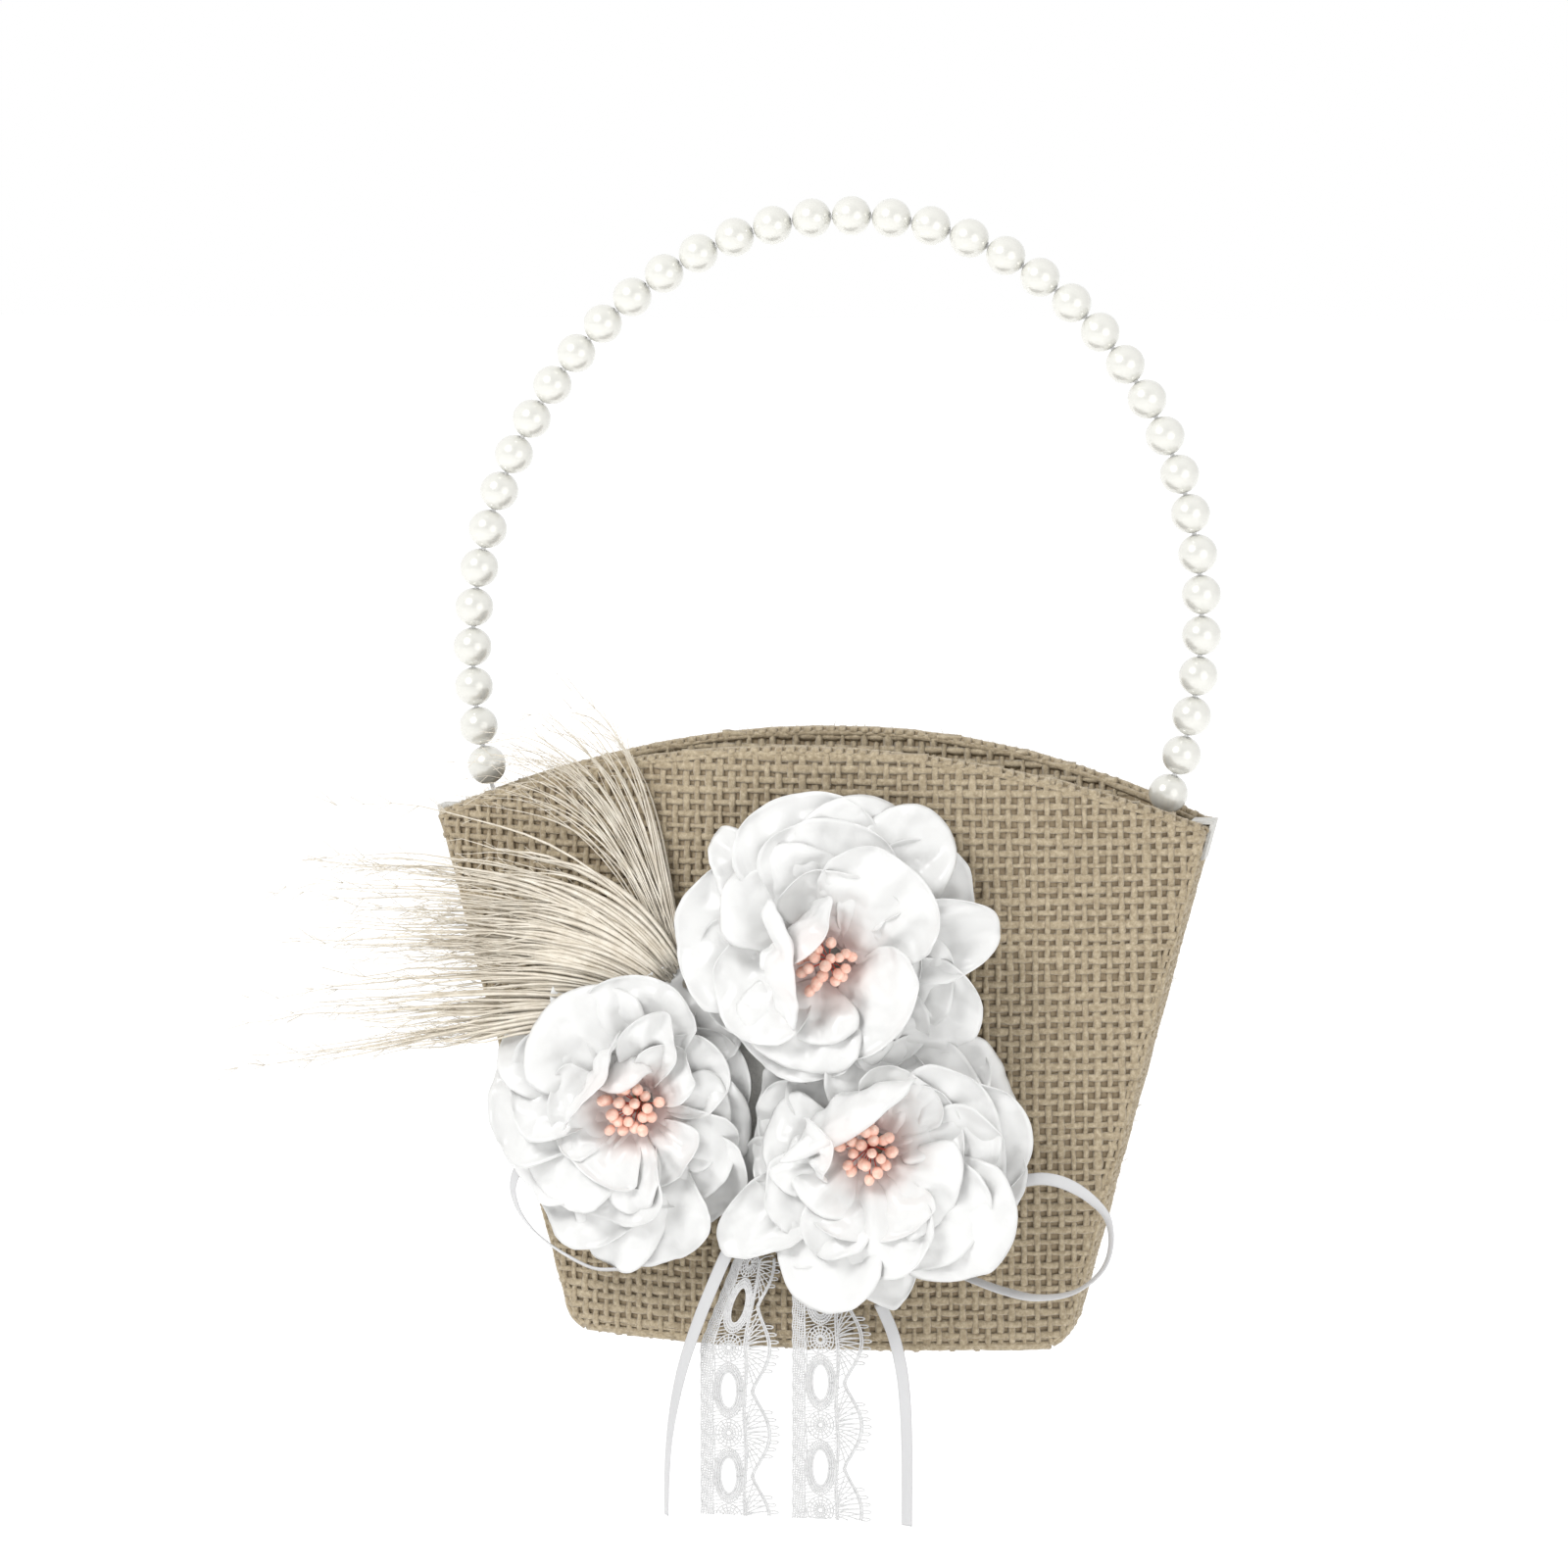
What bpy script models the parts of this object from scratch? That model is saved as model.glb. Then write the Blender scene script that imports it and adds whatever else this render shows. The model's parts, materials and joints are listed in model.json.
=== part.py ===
"""Flower girl basket: a flat burlap basket on a pearl-strung wire handle, with a corsage of
three satin flowers, two feathers, a ribbon bow and two lace tails on its front.

Blender 4.5, metres, +Z up, front of the basket towards -Y. Dimensions below are in millimetres and
are measured from the middle of the basket's base; an empty then carries the whole basket, so that
the world origin lies in the middle of the topmost pearl, where the handle is held.
"""

import math

import bmesh
import bpy
from mathutils import Matrix, Vector

MM = 0.001

# Basket body: a fan-shaped tub, wider at the rim than at the base, with bowed front and back.
RIM_HALF_WIDTH = 96.7
BASE_HALF_WIDTH = 62.5
CORNER_HEIGHT = 130.6        # rim height at the two sides
RIM_ARCH = 19.9              # how much the rim rises from the sides to the middle
SIDE_DEPTH = 17.0            # depth of the narrow sides
BASE_BOW = 12.0              # how far front and back bow out at the base
RIM_BOW = 20.0               # and at the rim
BASE_CORNER = 6.0            # rounding where sides meet the base

# Wall layers, as distances in from the outer surface of the burlap.
COVER_THICKNESS = 1.0
CARD_INSET = 1.4
CARD_THICKNESS = 1.0
LINING_INSET = 2.8
LINING_THICKNESS = 0.6
RIM_STEP = 1.2               # each inner layer stops this much lower at the rim

# Handle: pearls on a wire along an upright half ellipse that leans slightly to the right.
ARCH_HALF_WIDTH = 92.0
ARCH_HEIGHT = 104.0
ARCH_CENTRE = 175.5
ARCH_LEAN = 0.045
PEARL_COUNT = 39
PEARL_PITCH = 10.0
PEARL_RADIUS = 4.82
PEARL_BORE = 1.0
WIRE_RADIUS = 0.6
PIVOT_X = 83.5
PIVOT_HEIGHT = 127.5
EYE_RADIUS = 1.8             # centreline of the wire's end eye

# Anchor tabs: a folded strip over each side's rim, with the thread bar that the wire's eye hangs on.
TAB_THICKNESS = 0.8
TAB_HALF_WIDTH = 4.4
TAB_GAP = 0.4
TAB_INNER_DROP = 10.0
TAB_OUTER_DROP = 8.5
BAR_RADIUS = 0.8
BAR_HEAD_RADIUS = 2.2
BAR_HEAD_LENGTH = 1.2

# Corsage: the felt pad, and each flower's middle (x, z), half width and half height.
PAD_CENTRE = (-8.0, 74.0)
PAD_HALF_WIDTH = 36.0
PAD_HALF_HEIGHT = 34.0
PAD_THICKNESS = 0.8
PAD_GAP = 0.35
FLOWERS = {
    "top": (7.5, 107.5, 35.5, 30.0),
    "left": (-44.0, 59.5, 28.5, 36.0),
    "right": (20.0, 46.0, 32.0, 28.0),
}
# The stamens' offset from each flower's middle, to the right and up, as the petals are lopsided.
STAMEN_OFFSETS = {"top": (0.0, -8.0), "left": (7.5, 2.0), "right": (-4.0, 7.5)}
FLOWER_STANDOFF = 5.0        # flower's back plane to the burlap
FLOWER_DEPTH = 22.0
FLOWER_NECK = 10.0           # height of the hollow behind the petals
STAMEN_SEAT = 12.8           # height of the hollow's floor
STAMEN_GAP = 0.35
STAMEN_RADIUS = 5.0
STAMEN_LENGTH = 9.0

# Feathers: flat fans, as outlines (x, z) from their root among the flowers.
FEATHER_THICKNESS = 1.2
FEATHER_FRONT = 28.0         # distance of the fans in front of the basket's middle plane
FEATHER_UPPER = [(-27, 104), (-31, 131), (-42, 158), (-57, 168), (-94, 150), (-82, 143), (-58, 126), (-37, 100)]
FEATHER_LOWER = [(-36, 97), (-60, 118), (-94, 132), (-130, 150), (-140, 126), (-148, 103), (-143, 88),
                 (-148, 74), (-106, 73), (-77, 77), (-70, 97), (-50, 97)]

# Ribbon bow: flat satin ribbon, drawn as plain tubes along the ribbon's route (x, y, z).
RIBBON_RADIUS = 1.2
RIBBON_STEP = 3.0
LOOP_RIGHT = [(56, -25.5, 45), (60, -25.2, 45.3), (65, -25, 44.2), (70.5, -24.5, 41), (75, -24, 36), (76, -24.5, 29),
              (73.5, -25, 22.5), (67, -26, 17.5), (58, -26.5, 16), (50, -27, 17.5), (43, -28, 20)]
LOOP_LEFT = [(-73, -23.5, 43), (-74.5, -23, 39), (-74.2, -22.5, 35), (-72, -22.5, 30.5), (-67.5, -23, 26),
             (-61, -24, 22), (-53.5, -25, 19)]
TAIL_LEFT = [(-18.4, -28, 26), (-21.5, -28, 19), (-25.5, -28, 9.3), (-29.5, -28, -2), (-32, -28, -12), (-33.6, -28, -22),
             (-34.3, -28, -32), (-34.5, -28, -42)]
TAIL_RIGHT = [(19.4, -28, 13.5), (22.6, -28, 6), (24.6, -28, -2), (25.6, -28, -10), (26.1, -28, -20), (26.2, -28, -30),
              (26.2, -28, -42)]

# Lace tails. The left one narrows to its top, beside the ribbon. The corners are (x, z).
LACE_THICKNESS = 0.8
LACE_FRONT = 25.2
LACE_END = -42.0
LACE_LEFT = [(-17.2, 24.0), (-26.4, 1.0), (-26.4, LACE_END), (-5.9, LACE_END), (-5.9, 24.0)]
LACE_RIGHT = [(-3.2, 14.5), (-3.2, LACE_END), (17.3, LACE_END), (17.3, 14.5)]

PARTS = "flower_girl_basket"
CUTTERS = "cutters"


# Scene and materials

def clear_scene():
    for obj in list(bpy.data.objects):
        bpy.data.objects.remove(obj)
    for name in (PARTS, CUTTERS):
        collection = bpy.data.collections.new(name)
        bpy.context.scene.collection.children.link(collection)
    bpy.data.collections[CUTTERS].hide_render = True


def make_material(name, colour, roughness, metallic=0.0):
    material = bpy.data.materials.new(name)
    material.use_nodes = True
    shader = material.node_tree.nodes["Principled BSDF"]
    shader.inputs["Base Color"].default_value = (*colour, 1.0)
    shader.inputs["Roughness"].default_value = roughness
    shader.inputs["Metallic"].default_value = metallic
    return material


def make_materials():
    return {
        "burlap": make_material("burlap", (0.50, 0.38, 0.25), 0.95),
        "card": make_material("card", (0.45, 0.35, 0.24), 0.9),
        "pearl": make_material("pearl", (0.88, 0.87, 0.82), 0.15),
        "wire": make_material("wire", (0.75, 0.75, 0.75), 0.3, 1.0),
        "white_satin": make_material("white_satin", (0.92, 0.92, 0.91), 0.35),
        "stamen": make_material("stamen", (0.90, 0.55, 0.45), 0.5),
        "felt": make_material("felt", (0.90, 0.89, 0.86), 0.95),
        "feather": make_material("feather", (0.85, 0.78, 0.66), 0.6),
        "lace": make_material("lace", (0.93, 0.93, 0.92), 0.8),
    }


def add_part(name, data, material, parent, location=(0, 0, 0)):
    """A named part in the basket's collection, placed in millimetres from the base's middle."""
    obj = bpy.data.objects.new(name, data)
    if not data.materials:
        data.materials.append(material)
    obj.location = Vector(location) * MM
    obj.parent = parent
    bpy.data.collections[PARTS].objects.link(obj)
    return obj


def add_cutter(name, data, parent, location=(0, 0, 0)):
    obj = bpy.data.objects.new(name, data)
    obj.location = Vector(location) * MM
    obj.parent = parent
    obj.hide_render = True
    obj.display_type = "WIRE"
    bpy.data.collections[CUTTERS].objects.link(obj)
    return obj


def mesh_of(name, points, faces):
    """A mesh from points in millimetres, with its faces turned outwards."""
    mesh = bpy.data.meshes.new(name)
    mesh.from_pydata([Vector(point) * MM for point in points], [], faces)
    work = bmesh.new()
    work.from_mesh(mesh)
    bmesh.ops.recalc_face_normals(work, faces=work.faces)
    work.to_mesh(mesh)
    work.free()
    return mesh


def smooth(obj, angle=40):
    obj.data.shade_smooth()
    obj.data.set_sharp_from_angle(angle=math.radians(angle))


# Basket body

def half_width(height):
    """Half width of the fan at a height, with the corner at the base rounded in."""
    straight = BASE_HALF_WIDTH + (RIM_HALF_WIDTH - BASE_HALF_WIDTH) * height / CORNER_HEIGHT
    below = max(0.0, BASE_CORNER - height)
    return straight - BASE_CORNER + math.sqrt(BASE_CORNER ** 2 - below ** 2)


def bow(height):
    return BASE_BOW + (RIM_BOW - BASE_BOW) * height / CORNER_HEIGHT


def front_depth(x, height):
    """Distance of the basket's outer front surface in front of the middle plane."""
    return SIDE_DEPTH / 2 + bow(height) * (1 - (x / half_width(height)) ** 2)


def tub_ring(height, arch, inset):
    """The tub's outline at one height: bowed front, narrow side, bowed back, narrow side."""
    segments = 14
    width = half_width(height) - inset
    ring = []
    for side in (-1, 1):
        for i in range(segments + 1):
            x = side * width * (2 * i / segments - 1) * -1
            share = 1 - (x / width) ** 2
            depth = SIDE_DEPTH / 2 - inset + bow(height) * share
            ring.append((x, side * depth, height + arch * share))
    return ring


def tub_surface(name, inset, rim_drop):
    """The open-topped outer surface of one wall layer. Solidify then thickens it inwards."""
    corner = CORNER_HEIGHT - rim_drop
    levels = [(0.0, 0.0), (BASE_CORNER * 0.3, 0.0), (BASE_CORNER, 0.0), (corner * 0.5, RIM_ARCH * 0.5), (corner, RIM_ARCH)]
    points, faces = [], []
    for height, arch in levels:
        ring = tub_ring(height, arch, inset)
        if height < corner * 0.5:
            ring = [(x, y, max(z, height) + inset * (height < BASE_CORNER)) for x, y, z in ring]
        points += ring
    count = len(points) // len(levels)
    for level in range(len(levels) - 1):
        for i in range(count):
            a = level * count + i
            b = level * count + (i + 1) % count
            faces.append((a, b, b + count, a + count))
    faces.append(tuple(range(count)))
    return mesh_of(name, points, faces)


def build_wall(name, inset, thickness, rim_drop, material, parent):
    obj = add_part(name, tub_surface(name, inset, rim_drop), material, parent)
    shell = obj.modifiers.new("thickness", "SOLIDIFY")
    shell.thickness = thickness * MM
    shell.offset = -1
    shell.use_even_offset = True
    smooth(obj)
    return obj


def build_body(materials, parent):
    build_wall("outer_cover", 0.0, COVER_THICKNESS, 0.0, materials["burlap"], parent)
    build_wall("card_form", CARD_INSET, CARD_THICKNESS, RIM_STEP, materials["card"], parent)
    build_wall("inner_lining", LINING_INSET, LINING_THICKNESS, RIM_STEP / 2, materials["burlap"], parent)


# Handle

def arch_point(angle):
    """Point (x, z) of the handle's ellipse, sheared by its lean."""
    z = ARCH_CENTRE + ARCH_HEIGHT * math.sin(angle)
    return ARCH_HALF_WIDTH * math.cos(angle) + ARCH_LEAN * (z - PIVOT_HEIGHT), z


def arch_angles(spacing, count):
    """Angles of points that lie `spacing` apart along the arch, counted out from its top."""
    step = math.radians(0.02)
    angles = [math.pi / 2]
    for _ in range(count):
        start = arch_point(angles[-1])
        angle = angles[-1]
        while math.dist(start, arch_point(angle)) < spacing:
            angle += step
        angles.append(angle)
    return angles


def pearl_places():
    """(centre, tangent) of each pearl, from the left end of the handle to the right end."""
    half = PEARL_COUNT // 2
    left = arch_angles(PEARL_PITCH, half)
    right = []
    angle = math.pi / 2
    for _ in range(half):
        start = arch_point(angle)
        while math.dist(start, arch_point(angle)) < PEARL_PITCH:
            angle -= math.radians(0.02)
        right.append(angle)
    places = []
    for angle in left[::-1] + right:
        ahead, behind = Vector(arch_point(angle - 0.01)), Vector(arch_point(angle + 0.01))
        places.append((arch_point(angle), (ahead - behind).normalized()))
    return places


def pearl_profile():
    """Half outline of a bored pearl, down the outside and closed along the bore."""
    start = math.asin(PEARL_BORE / PEARL_RADIUS)
    steps = 7
    mesh = bpy.data.meshes.new("pearl_profile")
    points = []
    for i in range(steps + 1):
        angle = start + (math.pi - 2 * start) * i / steps
        points.append(Vector((PEARL_RADIUS * math.sin(angle), 0, PEARL_RADIUS * math.cos(angle))) * MM)
    edges = [(i, (i + 1) % len(points)) for i in range(len(points))]
    mesh.from_pydata(points, edges, [])
    return mesh


def build_pearls(material, parent):
    profile = pearl_profile()
    for number, ((x, z), tangent) in enumerate(pearl_places(), start=1):
        pearl = add_part(f"pearl_{number:02d}", profile, material, parent, (x, 0, z))
        pearl.rotation_euler = (0, math.atan2(tangent.x, tangent.y), 0)
        turn = pearl.modifiers.new("turn", "SCREW")
        turn.steps = turn.render_steps = 10
        turn.use_merge_vertices = True
        turn.merge_threshold = 1e-5
        turn.use_smooth_shade = True


def eye_points(side):
    """The wire's end eye round the thread bar, from its free tip to the shank above it."""
    pivot_x = side * PIVOT_X
    points = []
    for degrees in range(110, 391, 28):
        angle = math.radians(degrees)
        points.append((pivot_x, EYE_RADIUS * math.cos(angle), PIVOT_HEIGHT + EYE_RADIUS * math.sin(angle)))
    points.append((pivot_x, 0.5, PIVOT_HEIGHT + 3.4))
    points.append((pivot_x, 0, PIVOT_HEIGHT + 4.6))
    return points


def curve_of(name, points, radius, resolution):
    """A round tube with closed ends along points in millimetres."""
    curve = bpy.data.curves.new(name, "CURVE")
    curve.dimensions = "3D"
    curve.bevel_depth = radius * MM
    curve.bevel_resolution = resolution
    curve.use_fill_caps = True
    spline = curve.splines.new("POLY")
    spline.points.add(len(points) - 1)
    for target, point in zip(spline.points, points):
        target.co = (*(Vector(point) * MM), 1)
    return curve


def build_wire(material, parent):
    pearls = pearl_places()
    places = [Vector((x, 0, z)) for (x, z), _ in pearls]
    middles = [(p + q) / 2 for p, q in zip(places, places[1:])]
    arch = [point for pair in zip(places, middles) for point in pair] + [places[-1]]
    reach = PEARL_RADIUS + WIRE_RADIUS
    first, last = (Vector((t.x, 0, t.y)) * reach for t in (pearls[0][1], pearls[-1][1]))
    arch = [places[0] - first] + arch + [places[-1] + last]
    points = eye_points(-1) + arch + eye_points(1)[::-1]
    add_part("handle_wire", curve_of("handle_wire", points, WIRE_RADIUS, 1), material, parent)


def side_x(height, inwards):
    """x of a sloping side wall at a height, `inwards` from its outer surface."""
    return half_width(height) - inwards


def tab_outline():
    """Outline (x, z) of the strip folded over the right-hand side's rim."""
    low_in = CORNER_HEIGHT - TAB_INNER_DROP
    low_out = CORNER_HEIGHT - TAB_OUTER_DROP
    under = CORNER_HEIGHT + TAB_GAP
    top = under + TAB_THICKNESS
    inner = LINING_INSET + LINING_THICKNESS + TAB_GAP
    outer = -TAB_GAP
    return [
        (side_x(low_in, inner + TAB_THICKNESS), low_in), (side_x(top, inner + TAB_THICKNESS), top),
        (side_x(top, outer - TAB_THICKNESS), top), (side_x(low_out, outer - TAB_THICKNESS), low_out),
        (side_x(low_out, outer), low_out), (side_x(under, outer), under),
        (side_x(under, inner), under), (side_x(low_in, inner), low_in),
    ]


def flat_solid(name, outline, thickness):
    """An upright plate: the outline (x, z) thickened along Y about its own plane."""
    count = len(outline)
    points = [(x, -thickness / 2, z) for x, z in outline] + [(x, thickness / 2, z) for x, z in outline]
    faces = [tuple(range(count)), tuple(range(2 * count - 1, count - 1, -1))]
    faces += [(i, (i + 1) % count, count + (i + 1) % count, count + i) for i in range(count)]
    return mesh_of(name, points, faces)


def cylinder_mesh(name, radius, length, segments):
    """A closed cylinder along X, starting at x = 0."""
    work = bmesh.new()
    bmesh.ops.create_cone(work, cap_ends=True, segments=segments, radius1=radius * MM, radius2=radius * MM, depth=length * MM)
    bmesh.ops.rotate(work, cent=(0, 0, 0), matrix=Matrix.Rotation(math.pi / 2, 3, "Y"), verts=work.verts)
    bmesh.ops.translate(work, vec=(length * MM / 2, 0, 0), verts=work.verts)
    mesh = bpy.data.meshes.new(name)
    work.to_mesh(mesh)
    work.free()
    return mesh


def build_anchor_tabs(material, parent):
    for side, word in ((-1, "left"), (1, "right")):
        outline = [(side * x, z) for x, z in tab_outline()]
        tab = add_part(f"anchor_tab_{word}", flat_solid("tab", outline, 2 * TAB_HALF_WIDTH), material, parent)
        bar_end = PIVOT_X - 2.6
        wall = side_x(PIVOT_HEIGHT, LINING_INSET + LINING_THICKNESS + TAB_GAP + TAB_THICKNESS / 2)
        bar = cylinder_mesh("bar", BAR_RADIUS, wall - bar_end, 12)
        head = cylinder_mesh("head", BAR_HEAD_RADIUS, BAR_HEAD_LENGTH, 12)
        start = bar_end if side > 0 else -wall
        knot = bar_end - BAR_HEAD_LENGTH / 2 if side > 0 else -bar_end - BAR_HEAD_LENGTH / 2
        for piece, mesh, x in (("bar", bar, start), ("head", head, knot)):
            tool = add_cutter(f"{piece}_{word}", mesh, parent, (x, 0, PIVOT_HEIGHT))
            join = tab.modifiers.new(piece, "BOOLEAN")
            join.operation = "UNION"
            join.solver = "EXACT"
            join.object = tool


# Corsage

def build_pad(material, parent):
    """A felt pad that follows the bowed front, as rings of a squashed disc with Solidify."""
    rings, sectors = 3, 20
    points = [(PAD_CENTRE[0], 0, PAD_CENTRE[1])]
    for ring in range(1, rings + 1):
        for i in range(sectors):
            angle = 2 * math.pi * i / sectors
            share = ring / rings
            points.append((PAD_CENTRE[0] + share * PAD_HALF_WIDTH * math.cos(angle), 0,
                           PAD_CENTRE[1] + share * PAD_HALF_HEIGHT * math.sin(angle)))
    points = [(x, -front_depth(x, z) - PAD_GAP, z) for x, _, z in points]
    faces = [(0, 1 + i, 1 + (i + 1) % sectors) for i in range(sectors)]
    for ring in range(rings - 1):
        inner, outer = 1 + ring * sectors, 1 + (ring + 1) * sectors
        for i in range(sectors):
            j = (i + 1) % sectors
            faces.append((inner + i, outer + i, outer + j, inner + j))
    pad = add_part("felt_pad", mesh_of("felt_pad", points, faces), material, parent)
    if pad.data.polygons[0].normal.y > 0:
        pad.data.flip_normals()
    shell = pad.modifiers.new("thickness", "SOLIDIFY")
    shell.thickness = PAD_THICKNESS * MM
    shell.offset = 1
    smooth(pad)


def flower_matrix(x, z):
    """Places a flower so that its +Z axis leaves the bowed front squarely at (x, z)."""
    width = half_width(z)
    slope = 2 * bow(z) * x / width ** 2
    out = Vector((slope, -1, 0.0)).normalized()
    up = Vector((0, 0, 1))
    across = up.cross(out).normalized()
    turn = Matrix((across, up, out)).transposed().to_4x4()
    back = Vector((x, -front_depth(x, z), z)) * MM
    return Matrix.Translation(back) @ turn


def flower_mesh(name, half_wide, half_high, offset):
    """A closed lobed dome: neck, hollow back, rim of petals, and a hollow for the stamens."""
    sectors, lobes = 20, 5
    # Each ring: radius, or share of the half sizes where scaled, then height, scaled, and its share of the offset.
    profile = [(6.5, 1.9, 0, 0.0), (6.5, FLOWER_NECK, 0, 0.0), (0.72, FLOWER_STANDOFF, 1, 0.0),
               (1.0, FLOWER_STANDOFF + 5, 1, 0.0), (0.9, FLOWER_DEPTH * 0.72, 1, 0.1), (0.6, FLOWER_DEPTH, 1, 0.7),
               (0.34, FLOWER_DEPTH * 0.86, 1, 1.0), (6.0, STAMEN_SEAT, 0, 1.0)]
    points = []
    for radius, rise, scaled, share in profile:
        for i in range(sectors):
            angle = 2 * math.pi * i / sectors
            lobe = 1 + 0.03 * math.cos(lobes * angle) if scaled else 1
            wide, high = (half_wide * radius, half_high * radius) if scaled else (radius, radius)
            points.append((share * offset[0] - wide * lobe * math.cos(angle),
                           share * offset[1] + high * lobe * math.sin(angle), rise))
    faces = [tuple(range(sectors)), tuple(range(len(points) - sectors, len(points)))]
    for ring in range(len(profile) - 1):
        for i in range(sectors):
            j = (i + 1) % sectors
            low, high = ring * sectors, (ring + 1) * sectors
            faces.append((low + i, low + j, high + j, high + i))
    return mesh_of(name, points, faces)


def stamen_mesh(name):
    work = bmesh.new()
    bmesh.ops.create_cone(work, cap_ends=True, segments=12, radius1=STAMEN_RADIUS * 0.6 * MM,
                          radius2=STAMEN_RADIUS * MM, depth=STAMEN_LENGTH * MM)
    mesh = bpy.data.meshes.new(name)
    work.to_mesh(mesh)
    work.free()
    return mesh


def build_flowers(materials, parent):
    for word, (x, z, half_wide, half_high) in FLOWERS.items():
        place = flower_matrix(x, z)
        flower = add_part(f"flower_{word}", flower_mesh("flower", half_wide, half_high, STAMEN_OFFSETS[word]),
                          materials["white_satin"], parent)
        flower.matrix_local = place
        smooth(flower)
        right, up = STAMEN_OFFSETS[word]
        seat = Vector((right, up, STAMEN_SEAT + STAMEN_GAP + STAMEN_LENGTH / 2)) * MM
        stamens = add_part(f"stamens_{word}", stamen_mesh("stamens"), materials["stamen"], parent)
        stamens.matrix_local = place @ Matrix.Translation(seat)


def build_feathers(material, parent):
    for word, outline, lift in (("upper", FEATHER_UPPER, 0.0), ("lower", FEATHER_LOWER, 2.0)):
        feather = add_part(f"feather_{word}", flat_solid("feather", outline, FEATHER_THICKNESS), material, parent)
        feather.location.y = -(FEATHER_FRONT + lift) * MM


def smooth_route(points, spacing):
    """Points about `spacing` apart along a Catmull-Rom curve through the given ones."""
    route = [Vector(point) for point in points]
    route = [2 * route[0] - route[1]] + route + [2 * route[-1] - route[-2]]
    result = []
    for a, b, c, d in zip(route, route[1:], route[2:], route[3:]):
        steps = max(1, round((c - b).length / spacing))
        for i in range(steps):
            t = i / steps
            result.append(0.5 * (2 * b + (c - a) * t + (2 * a - 5 * b + 4 * c - d) * t ** 2 + (3 * b - a - 3 * c + d) * t ** 3))
    return result + [route[-2]]


def build_ribbons(material, parent):
    routes = {"ribbon_loop_left": LOOP_LEFT, "ribbon_loop_right": LOOP_RIGHT,
              "ribbon_tail_left": TAIL_LEFT, "ribbon_tail_right": TAIL_RIGHT}
    for name, route in routes.items():
        curve = curve_of(name, smooth_route(route, RIBBON_STEP), RIBBON_RADIUS, 1)
        add_part(name, curve, material, parent)


def build_lace(material, parent):
    for word, outline in (("left", LACE_LEFT), ("right", LACE_RIGHT)):
        lace = add_part(f"lace_{word}", flat_solid("lace", outline, LACE_THICKNESS), material, parent)
        lace.location.y = -LACE_FRONT * MM


def main():
    clear_scene()
    materials = make_materials()
    grip_x, grip_z = arch_point(math.pi / 2)
    carrier = bpy.data.objects.new("basket_carrier", None)
    carrier.location = (-grip_x * MM, 0, -grip_z * MM)
    bpy.data.collections[PARTS].objects.link(carrier)
    build_body(materials, carrier)
    build_pearls(materials["pearl"], carrier)
    build_wire(materials["wire"], carrier)
    build_anchor_tabs(materials["felt"], carrier)
    build_pad(materials["felt"], carrier)
    build_flowers(materials, carrier)
    build_feathers(materials["feather"], carrier)
    build_ribbons(materials["white_satin"], carrier)
    build_lace(materials["lace"], carrier)


main()
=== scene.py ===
"""Looks of the flower girl basket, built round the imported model.

The burlap is woven yarn by yarn, the lace is drawn thread by thread, each flower is a set of curved
petals round its stamens, and the feathers are barbs and finer hairs. Lengths are millimetres from
the middle of the basket's base, +Z up and the front towards -Y, until they are written to a mesh in
metres in the model's own frame. Materials and cameras use metres.
"""

import json
import math
import random

import bmesh
import bpy
import numpy as np
from mathutils import Matrix, Vector, noise


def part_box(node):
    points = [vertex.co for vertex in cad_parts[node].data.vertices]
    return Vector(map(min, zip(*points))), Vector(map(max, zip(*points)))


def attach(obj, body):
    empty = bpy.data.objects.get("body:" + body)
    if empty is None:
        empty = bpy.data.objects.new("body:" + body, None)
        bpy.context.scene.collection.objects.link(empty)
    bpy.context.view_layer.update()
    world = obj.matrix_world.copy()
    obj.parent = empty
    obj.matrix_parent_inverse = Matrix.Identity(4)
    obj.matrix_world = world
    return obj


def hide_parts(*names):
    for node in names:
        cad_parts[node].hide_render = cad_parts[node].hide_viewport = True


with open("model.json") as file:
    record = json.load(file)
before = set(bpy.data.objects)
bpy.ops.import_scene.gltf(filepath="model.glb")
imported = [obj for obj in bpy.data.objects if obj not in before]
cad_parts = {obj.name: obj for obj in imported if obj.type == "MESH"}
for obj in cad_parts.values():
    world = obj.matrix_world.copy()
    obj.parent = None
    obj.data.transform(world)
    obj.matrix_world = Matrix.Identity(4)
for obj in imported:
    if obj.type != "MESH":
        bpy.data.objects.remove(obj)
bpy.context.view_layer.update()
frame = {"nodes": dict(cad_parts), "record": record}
MM = 0.001
MOUNTS = {mount["name"]: mount for mount in frame["record"]["mounts"]}
BASE = Vector(MOUNTS["base_face"]["pos_m"])
RNG = random.Random(7)

# The basket's shape, as the model has it.
RIM_HALF_WIDTH = 96.7
BASE_HALF_WIDTH = 62.5
CORNER_HEIGHT = 130.6        # rim height at the two sides
RIM_ARCH = 19.9              # how much the rim rises from the sides to the middle
SIDE_DEPTH = 17.0
BASE_BOW = 12.0              # how far front and back bow out at the base
RIM_BOW = 20.0               # and at the rim
BASE_CORNER = 6.0            # rounding where sides meet the base
WALL = 3.4                   # from the cover's outside to the lining's inside
RIM_ROUND = WALL / 2

# Burlap
YARN_PITCH = 2.95
YARN_STEP = YARN_PITCH / 2   # between the points of a yarn's path
YARN_WIDTH = 1.66
YARN_THICKNESS = 0.85
YARN_WAVE = 0.36             # how far a yarn rises and falls as it weaves
COVER_LIFT = -0.15           # of the yarns' centres off the wall's surface
LINING_LIFT = -0.38
CORE_INSET = 0.55            # of the skin behind the cover's yarns
LINING_CORE_INSET = WALL - 0.75
FUZZ_HAIRS = 2400


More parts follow.
